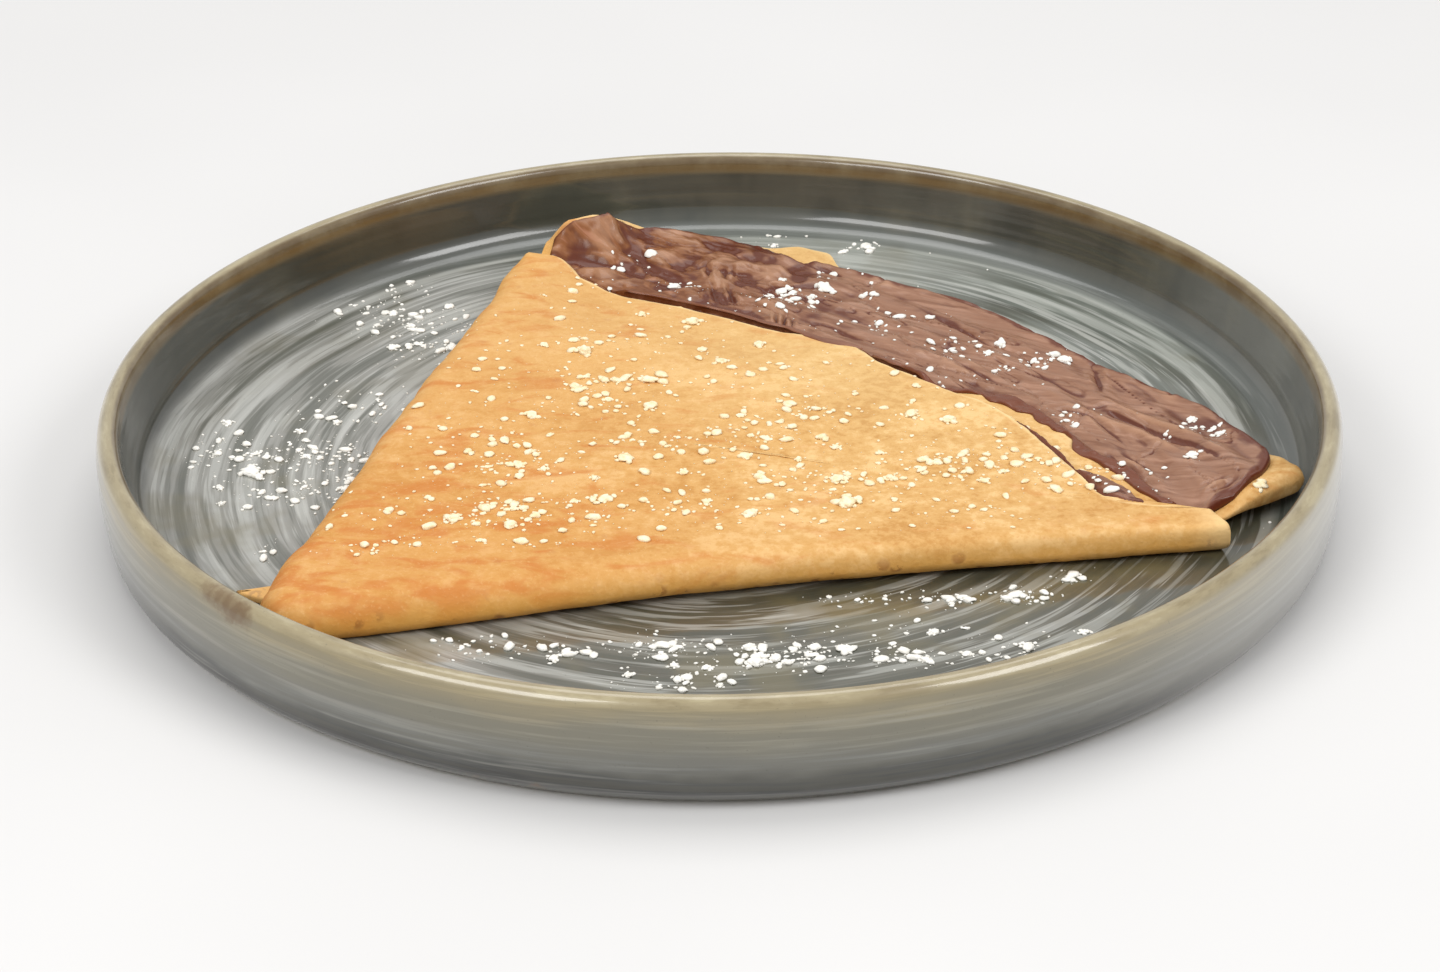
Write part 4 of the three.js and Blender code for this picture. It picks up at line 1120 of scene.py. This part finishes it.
def grains_of(shape, rows, unevenness, seed):
    """Points, triangles and warmth of many grains of one shape, each uneven in its own way,
    lying on the ground under it and leaning with it. A row holds half widths, turn, the ground's
    place and normal, and the number of the piece that is the ground."""
    points, faces = shape
    widths, turns, ground, normals, carrier = np.split(np.array(rows), (3, 4, 7, 10), axis=1)
    scaled = points[None] * widths[:, None, :]
    keys = points[None] * GRAIN_BUMPS + np.arange(len(rows))[:, None, None] * GRAIN_APART
    scaled = scaled * (1 + unevenness * rough(keys, 1, seed, 2))[..., None]
    cos, sin = np.cos(turns), np.sin(turns)
    spun = np.stack([scaled[..., 0] * cos - scaled[..., 1] * sin,
                     scaled[..., 0] * sin + scaled[..., 1] * cos, scaled[..., 2]], axis=-1)
    slope = normals[:, :2] / normals[:, 2:]
    spun[..., 2] -= (spun[..., :2] @ slope[..., None])[..., 0]
    vertices = spun + ground[:, None, :]
    vertices[..., 2] += widths[:, 2:] * GRAIN_LIFT
    numbers = faces[None] + (np.arange(len(rows)) * len(points))[:, None, None]
    warm = np.repeat((carrier[:, 0] == CREPE_NUMBER).astype(float), len(points))
    return vertices.reshape(-1, 3), numbers.reshape(-1, 3), warm


def sugar_piece(name, *parts):
    """One mesh of several kinds of grain."""
    points, faces, warm = zip(*parts)
    starts = np.cumsum([0] + [len(part) for part in points[:-1]])
    piece = new_piece(name, np.concatenate(points),
                      *(part + start for part, start in zip(faces, starts)))
    set_values(piece, warm=np.concatenate(warm))
    return piece


def tree_of(piece):
    piece.data.calc_loop_triangles()
    triangles = np.empty(len(piece.data.loop_triangles) * 3, np.int32)
    piece.data.loop_triangles.foreach_get("vertices", triangles)
    return BVHTree.FromPolygons(points_of(piece).tolist(), triangles.reshape(-1, 3).tolist())


def make_sugar(grounds):
    """Lumps, crumbs, bits and dust, dropped from above on the pieces that carry them."""
    trees = [tree_of(piece) for piece in grounds]

    def ground_under(place):
        best = None
        for number, tree in enumerate(trees):
            start = Vector((place[0], place[1], DROP_HEIGHT))
            hit, normal, _, _ = tree.ray_cast(start, Vector((0, 0, -1)))
            if hit is not None and (best is None or hit.z > best[2]):
                best = (hit.x, hit.y, hit.z, *normal, number)
        if best is None or best[5] < LEAST_UPRIGHT or math.hypot(best[0], best[1]) > SUGAR_REACH:
            return None
        return best

    random = np.random.default_rng(SUGAR_SEED)
    lumps, crumbs, bits, dust = [], [], [], []

    def drop(kind, place, widths, turn):
        ground = ground_under(place)
        if ground is not None:
            kind.append((*widths, turn, *ground))

    for place, widths, turn in solid_lumps():
        drop(lumps, place, np.array(widths) * LUMP_CORE, turn)
        for _ in range(CRUMBS_AT_LUMP):
            away = direction(random.uniform(0, 360)) * widths[0] * random.uniform(0.45, 1.25)
            size = widths[1] * random.uniform(0.22, 0.5)
            drop(crumbs, place + away, size * np.array([1.15, 0.9, 0.6]), random.uniform(0, math.pi))
    for x, y, wide, deep, lump_count, grain_count in LOOSE_SUGAR:
        for kind, count, (share, smallest, spread, power, reach, flat) in (
                (crumbs, lump_count, CRUMBS), (bits, grain_count, BITS), (dust, grain_count, DUST)):
            for _ in range(round(count * share)):
                fall = random.normal(0, HEAP_SPREAD, 2)
                place = np.array([x, y]) + reach * np.array([wide, deep]) * fall
                size = smallest + spread * random.random() ** power
                widths = size * np.array([random.uniform(0.95, 1.5), random.uniform(0.75, 1.05), flat])
                drop(kind, place, widths, random.uniform(0, math.pi))
    return (sugar_piece("sugar_lumps", grains_of(ball(2), lumps, 0.45, 113),
                        grains_of(ball(1), crumbs, 0.42, 127)),
            sugar_piece("sugar_dust", grains_of(ball(0), bits, 0.4, 109),
                        grains_of(OCTAHEDRON, dust, 0.3, 107)))

# ---------------------------------------------------------------- finishes


def srgb(red, green, blue):
    """A linear colour from display values of 0 to 255."""
    shares = np.array([red, green, blue]) / 255
    linear = np.where(shares <= 0.04045, shares / 12.92, ((shares + 0.055) / 1.055) ** 2.4)
    return (*linear.tolist(), 1.0)


def calculation(operation, swapped=False):
    def calculate(term, other):
        return term.finish.math(operation, *((other, term) if swapped else (term, other)))
    return calculate


class Term:
    """A node's output. To calculate with it makes the next nodes."""

    __add__ = calculation("ADD")
    __radd__ = calculation("ADD", swapped=True)
    __sub__ = calculation("SUBTRACT")
    __rsub__ = calculation("SUBTRACT", swapped=True)
    __mul__ = calculation("MULTIPLY")
    __truediv__ = calculation("DIVIDE")

    def __init__(self, finish, socket):
        self.finish = finish
        self.socket = socket

    def remap(self, low, high, to_low=0.0, to_high=1.0):
        """Eased from to_low, where this is low, to to_high, where it is high."""
        entries = (self, low, high, to_low, to_high)
        return self.finish.made("MapRange", entries, interpolation_type="SMOOTHSTEP")


class Finish:
    """A node material. Patterns are in millimetres of the part, colours are display values."""

    def __init__(self, name, **surface):
        self.material = bpy.data.materials.new(name)
        self.material.use_nodes = True
        self.tree = self.material.node_tree
        self.shader = self.tree.nodes["Principled BSDF"]
        self.place = self.scaled(self.made("TexCoord", (), "Object"), (1 / MM, 1 / MM, 1 / MM))
        self.surface(**surface)

    def surface(self, **entries):
        for key, value in entries.items():
            self.feed(self.shader.inputs[key.replace("_", " ")], value)

    def feed(self, socket, value):
        if isinstance(value, Term):
            self.tree.links.new(value.socket, socket)
        else:
            socket.default_value = value

    def made(self, kind, entries, output=0, **settings):
        """An output of a new node. Its entries go by name or number, or are the first ones."""
        node = self.tree.nodes.new("ShaderNode" + kind)
        for key, value in settings.items():
            setattr(node, key, value)
        named = entries if isinstance(entries, dict) else dict(enumerate(entries))
        for key, value in named.items():
            self.feed(node.inputs[key], value)
        return Term(self, node.outputs[output])

    def math(self, operation, *values):
        return self.made("Math", values, operation=operation)

    def scaled(self, vector, factors):
        return self.made("VectorMath", (vector, factors), operation="MULTIPLY")

    def parts(self, vector):
        first = self.made("SeparateXYZ", (vector,))
        return [Term(self, output) for output in first.socket.node.outputs]

    def vector(self, x, y, z):
        return self.made("CombineXYZ", (x, y, z))

    def value(self, name):
        return self.made("Attribute", (), "Fac", attribute_name=name)

    def noise(self, vector, scale=1.0, detail=3.0, roughness=0.55, distortion=0.0):
        entries = {"Vector": vector, "Scale": scale, "Detail": detail, "Roughness": roughness,
                   "Distortion": distortion}
        return self.made("TexNoise", entries, "Fac")

    def cells(self, vector, scale):
        return self.made("TexVoronoi", {"Vector": vector, "Scale": scale}, "Distance")

    def ramp(self, factor, positions, *colours):
        made = self.made("ValToRGB", (factor,))
        ramp = made.socket.node.color_ramp
        ramp.interpolation = "EASE"
        while len(ramp.elements) < len(positions):
            ramp.elements.new(0.5)
        for element, position, colour in zip(ramp.elements, positions, colours):
            element.position = position
            element.color = srgb(*colour)
        return made

    def coats(self, surface, *coats):
        """A colour under others that are laid over it, each as a factor and a colour."""
        for factor, colour in coats:
            colour = colour if isinstance(colour, Term) else srgb(*colour)
            surface = self.made("Mix", {0: factor, 6: surface, 7: colour}, 2, data_type="RGBA")
        return surface

    def bump(self, height, distance, strength):
        entries = {"Height": height, "Distance": distance * MM, "Strength": strength}
        self.surface(Normal=self.made("Bump", entries))


# Darker glaze marks on the outer side: turn, height, size, strength.
GLAZE_SPOTS = [
    (220.6, 23.0, 1.4, 0.5), (221.8, 22.8, 1.7, 0.5), (223.0, 22.5, 1.9, 0.55),
    (224.2, 22.2, 2.2, 0.6), (225.4, 21.8, 2.0, 0.6), (226.3, 21.5, 1.6, 0.5),
    (249.0, 0.8, 1.6, 0.9), (254.5, 0.8, 1.8, 0.9),
]


def glaze_finish():
    glaze = Finish("stoneware_glaze", Specular_IOR_Level=0.5, Coat_Weight=0.9, Coat_Roughness=0.09)
    x, y, z = glaze.parts(glaze.place)
    radius = glaze.math("SQRT", x * x + y * y)
    ux, uy = x / radius, y / radius

    def turned(turns, pace):
        """Noise space drawn out along the turning direction: turns around, pace across."""
        return glaze.vector(ux * turns, uy * turns, pace)

    # the floor's rings, warm in front, cool at the back, pale at the left, where the pale coat is
    # painted sheen of the left lamp
    track = radius + glaze.noise(turned(1.2, 7.0), detail=2) * 5
    broad = glaze.noise(turned(1.3, track / 11), 1, 2, 0.5)
    bands = glaze.noise(turned(1.8, track / 3.6 + 5))
    lines = glaze.noise(turned(2.2, track / 1.5 + 9), roughness=0.6)
    strokes = broad * 0.4 + bands * 0.6
    stops = (0.38, 0.46, 0.53, 0.62)
    warm = glaze.ramp(strokes, stops, (52, 52, 41), (70, 68, 56), (92, 90, 79), (120, 118, 109))
    cool = glaze.ramp(strokes, stops, (72, 76, 69), (100, 105, 97), (128, 132, 124), (154, 159, 151))
    pale = glaze.ramp(strokes, stops, (100, 100, 92), (130, 129, 122), (143, 142, 136), (156, 155, 150))
    patches = glaze.noise(glaze.place, 1 / 26, 3, 0.6)
    floor = glaze.coats(
        warm,
        (y.remap(-20, 60), cool),
        # paler and flatter at the left: painted sheen
        (x.remap(-20, -75), pale),
        (lines.remap(0.54, 0.62, 0.0, 0.5), (182, 182, 176)),
        (lines.remap(0.46, 0.38, 0.0, 0.5), (72, 74, 62)),
        (bands.remap(0.53, 0.57, 0.0, 0.34), (184, 185, 178)),
        (bands.remap(0.47, 0.42, 0.0, 0.42), (70, 72, 60)),
        # lighter at the back: a painted glossy highlight on the floor
        (y.remap(80, 110) * x.remap(-40, 20) * 0.45, (176, 178, 170)),
        (patches.remap(0.50, 0.66) * y.remap(40, -50, 0.25, 0.6), (104, 96, 66)))

    # the wall's inside, its outside, and the lip between them
    drips = glaze.noise(turned(8, z / 22))
    inner = glaze.coats(
        glaze.ramp(drips, (0.3, 0.5, 0.72), (54, 56, 48), (68, 68, 58), (84, 82, 68)),
        # painted shade on the inside of the wall at the left
        (x.remap(-20, -70) * 0.55, (42, 44, 38)),
        # painted light on the inside of the wall at the right
        (x.remap(60, 115) * y.remap(95, 50) * 0.25, (136, 136, 131)))
    streaks = glaze.noise(turned(2.6, z / 1.5 + 13), 1, 4, 0.6)
    clouds = glaze.noise(turned(5, z / 8), roughness=0.6)
    level = (z + (clouds - 0.5) * 7) / PLATE_HEIGHT
    # darker towards the bottom, where the wall turns under: painted shade; the olive band below the lip
    # is the glaze's own colour
    outer = glaze.coats(
        glaze.ramp(level, (0.0, 0.14, 0.27, 0.42, 0.68, 0.95), (26, 26, 25), (28, 28, 28), (60, 61, 59),
                   (108, 108, 102), (124, 120, 104), (152, 139, 106)),
        (streaks.remap(0.44, 0.60, 0.36, 0.0), (88, 84, 70)),
        (streaks.remap(0.54, 0.72, 0.0, 0.38), (150, 148, 138)),
        # lighter at the right: painted light
        (x.remap(60, 118) * 0.3, (196, 193, 186)),
        (z.remap(1.3, 0.5), (150, 146, 138)))
    lip_spots = glaze.noise(turned(9, radius / 3 + 21), 1, 4, 0.65)
    lip = glaze.ramp(lip_spots, (0.34, 0.5, 0.66), (132, 118, 86), (150, 137, 105), (166, 154, 122))
    inner_edge = radius.remap(127.2, 126.2) * z.remap(19.0, 21.0)
    inner_edge = inner_edge * lip_spots.remap(0.35, 0.6, 1.0, 0.75)
    on_wall = radius.remap(119.5, 123.2)
    # painted shade in the hollow between floor and wall, weaker at the left
    cove = radius.remap(116.5, 119.0) * radius.remap(123.5, 121.5) * x.remap(-105, -60, 0.1, 1.0)
    surface = glaze.coats(
        floor,
        (on_wall, inner),
        (on_wall * z.remap(19.0, 22.8), lip),
        (inner_edge, (92, 72, 38)),
        (radius.remap(128.2, 129.4), glaze.coats(outer, (z.remap(21.5, 23.4), lip))),
        (cove * 0.65, (58, 64, 60)),
        (z.remap(1.0, 0.4), (176, 168, 150)))

    ragged = glaze.noise(glaze.place, 1 / 2.5, 3, 0.6) * 3.2
    for turn, height, across, strength in GLAZE_SPOTS:
        spot = (*(PLATE_RADIUS * 0.995 * direction(turn)), height)
        away = glaze.made("VectorMath", (glaze.place, spot), "Value", operation="DISTANCE")
        near = (away + ragged).remap(across + 2.8, across + 1.2)
        surface = glaze.coats(surface, (near * strength, (98, 70, 34)))
    pits = glaze.noise(glaze.place, 1 / 0.55, 2, 0.5).remap(0.68, 0.76)
    surface = glaze.coats(surface, (pits * 0.3, (60, 58, 48)))
    glaze.surface(Base_Color=surface, Roughness=bands.remap(0.3, 0.7, 0.42, 0.28))
    glaze.bump(bands * 0.5 + lines * 0.35, 0.22, 0.5)
    return glaze.material


def crepe_finish():
    crepe = Finish("crepe_baked", Specular_IOR_Level=0.3)
    baked, pale, side = (crepe.value(name) for name in ("baked", "pale", "side"))
    blotches = crepe.noise(crepe.scaled(crepe.place, (0.62, 1.3, 1.0)), 1 / 8.0, 3, 0.55, 0.6)
    wide_tone = crepe.noise(crepe.scaled(crepe.place, (0.8, 1.2, 1.0)), 1 / 19, 2, 0.5)
    mottle = crepe.noise(crepe.place, 1 / 2.6, 4, 0.62)
    speckle = crepe.noise(crepe.place, 1 / 0.75, 2)
    tone = mottle * 0.55 + wide_tone * 0.45
    far = crepe.parts(crepe.place)[1].remap(-20, 45)
    threshold = 0.66 - baked * 0.14
    brown = blotches.remap(threshold - 0.08, threshold + 0.12) * (0.3 + baked * 0.45)
    dots = crepe.cells(crepe.place, 1 / 6.5).remap(0.26, 0.10, 0.0, 0.35) * mottle.remap(0.48, 0.6)
    blisters = crepe.cells(crepe.place, 1 / 5.2).remap(0.36, 0.18, 0.0, 0.7)
    surface = crepe.coats(
        crepe.ramp(tone, (0.38, 0.5, 0.62), (188, 139, 76), (206, 162, 99), (222, 184, 126)),
        # lighter towards the back: painted light
        (far * 0.4, (224, 190, 130)),
        (baked * 0.62, (200, 137, 62)),
        (brown, (190, 112, 44)),
        (dots, (176, 114, 56)),
        # light specks: painted tiny highlights
        (speckle.remap(0.56, 0.72, 0.0, 0.14), (240, 206, 150)),
        (speckle.remap(0.42, 0.28, 0.0, 0.3), (190, 126, 64)),
        (side * 0.6, (232, 170, 78)),
        (blisters * side * mottle.remap(0.46, 0.54), (150, 88, 36)),
        (pale * 0.75, (242, 212, 156)))
    crepe.surface(Base_Color=surface, Roughness=mottle.remap(0.3, 0.7, 0.72, 0.58))
    crepe.bump(speckle * 0.5 + mottle * 0.8, 0.28, 0.6)
    return crepe.material


def chocolate_finish():
    chocolate = Finish("chocolate_satin", Specular_IOR_Level=0.28, Coat_Weight=0.24,
                       Coat_Roughness=0.13)
    relief, rim, tucked = (chocolate.value(name) for name in ("relief", "rim", "tucked"))
    x, y, _ = chocolate.parts(chocolate.place)
    along = x * 0.85 - y * 0.53
    across = x * 0.53 + y * 0.85
    strokes = chocolate.noise(chocolate.vector(along / 16, across / 2.2, 0.0), 1, 4, 0.55, 0.8)
    shade_and_glint_patches = chocolate.noise(chocolate.vector(along / 9, across / 3.4, 2.0), 1, 3, 0.6, 1.2)
    cloudy = chocolate.noise(chocolate.place, 1 / 7)
    grain = chocolate.noise(chocolate.scaled(chocolate.place, (1, 1.6, 1)), 1 / 0.8, 3, 0.6)
    # darker and redder at the left; the lighter right part is painted sheen
    left = x.remap(34, -26)
    surface = chocolate.coats(
        chocolate.ramp(strokes, (0.32, 0.5, 0.68), (120, 79, 56), (143, 102, 78), (162, 121, 98)),
        (left * 0.85, (126, 72, 25)),
        # painted shade in hollows and painted glints: dark and light patches at the left
        (shade_and_glint_patches.remap(0.54, 0.40, 0.0, 0.8) * (left + 0.15), (102, 52, 14)),
        (shade_and_glint_patches.remap(0.56, 0.68, 0.0, 0.6) * left, (170, 118, 92)),
        # painted shade in the grooves and painted highlights on the ridges
        (relief.remap(-0.03, -0.38, 0.0, 0.92), (86, 34, 12)),
        (relief.remap(0.15, 0.7, 0.0, 0.45), (182, 138, 106)),
        # painted shadow along the chocolate's edges
        (rim * 0.9, (90, 36, 14)),
        # painted shade where the chocolate goes under the flaps
        (tucked * 0.9, (102, 46, 18)))
    chocolate.surface(Base_Color=surface, Roughness=cloudy.remap(0.3, 0.7, 0.42, 0.30))
    chocolate.bump(strokes + grain * 0.4, 0.12, 0.5)
    return chocolate.material


def sugar_finish():
    sugar = Finish("sugar_white", Roughness=0.85, Specular_IOR_Level=0.25)
    cloudy = sugar.noise(sugar.place, 1 / 1.3, 2, 0.5)
    white = sugar.ramp(cloudy, (0.3, 0.7), (226, 223, 214), (242, 240, 234))
    cream = sugar.ramp(cloudy, (0.3, 0.7), (232, 212, 170), (242, 229, 200))
    sugar.surface(Base_Color=sugar.coats(white, (sugar.value("warm"), cream)))
    sugar.bump(sugar.noise(sugar.place, 1 / 0.35, 2, 0.6), 0.12, 0.6)
    return sugar.material


def floor_finish():
    floor = Finish("studio_floor", Roughness=0.9, Specular_IOR_Level=0.1)
    tone = floor.noise(floor.place, 1 / 180, 2, 0.5)
    floor.surface(Base_Color=floor.ramp(tone, (0.3, 0.7), (209, 208, 207), (212, 211, 210)))
    return floor.material


# ---------------------------------------------------------------- studio

STUDIO_HALF = 3000
WORLD_STRENGTH = 0.66
# Name, place, what it points at, width, depth, power.
SOFTBOXES = [
    ("softbox_left", (-0.80, -0.80, 1.00), (0, 0, 0), 0.85, 0.55, 9.4),
    ("softbox_right", (0.96, -0.57, 1.00), (0, 0, 0), 0.65, 0.55, 7.9),
    ("softbox_above", (0.0, 0.65, 1.90), (0, 0.2, 0), 1.60, 1.20, 15.5),
]


def make_studio():
    corners = [(x * STUDIO_HALF, y * STUDIO_HALF, 0) for x, y in ((-1, -1), (1, -1), (1, 1), (-1, 1))]
    floor = new_piece("studio_floor", corners, [(0, 1, 2, 3)])
    floor.data.materials.append(floor_finish())

    world = bpy.data.worlds.new("studio")
    world.use_nodes = True
    background = world.node_tree.nodes["Background"]
    background.inputs["Color"].default_value = (1.0, 1.0, 1.0, 1.0)
    background.inputs["Strength"].default_value = WORLD_STRENGTH
    bpy.context.scene.world = world

    for name, place, aim, wide, deep, power in SOFTBOXES:
        data = bpy.data.lights.new(name, "AREA")
        data.shape = "RECTANGLE"
        data.size = wide
        data.size_y = deep
        data.energy = power
        lamp = bpy.data.objects.new(name, data)
        lamp.location = place
        lamp.rotation_euler = (Vector(aim) - Vector(place)).to_track_quat("-Z", "Y").to_euler()
        bpy.context.scene.collection.objects.link(lamp)
    bpy.context.scene.view_settings.view_transform = "Standard"


# ---------------------------------------------------------------- the whole


def main():
    make_studio()
    plate = make_plate()
    crepe = make_crepe()
    finish_crepe(crepe)
    spread = make_spread()
    seam = make_seam()
    lumps, dust = make_sugar([plate, crepe, spread, seam])
    chocolate, sugar = chocolate_finish(), sugar_finish()
    for piece, node, slot, material in (
            (plate, "plate", "stoneware", glaze_finish()),
            (crepe, "crepe", "crepe", crepe_finish()),
            (spread, "chocolate_spread", "chocolate", chocolate),
            (seam, "chocolate_seam", "chocolate", chocolate),
            (lumps, None, "icing_sugar", sugar),
            (dust, None, "icing_sugar", sugar)):
        piece.data.materials.clear()
        piece.data.materials.append(material)
        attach(piece, "root")
        if node:
            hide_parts(node)


main()
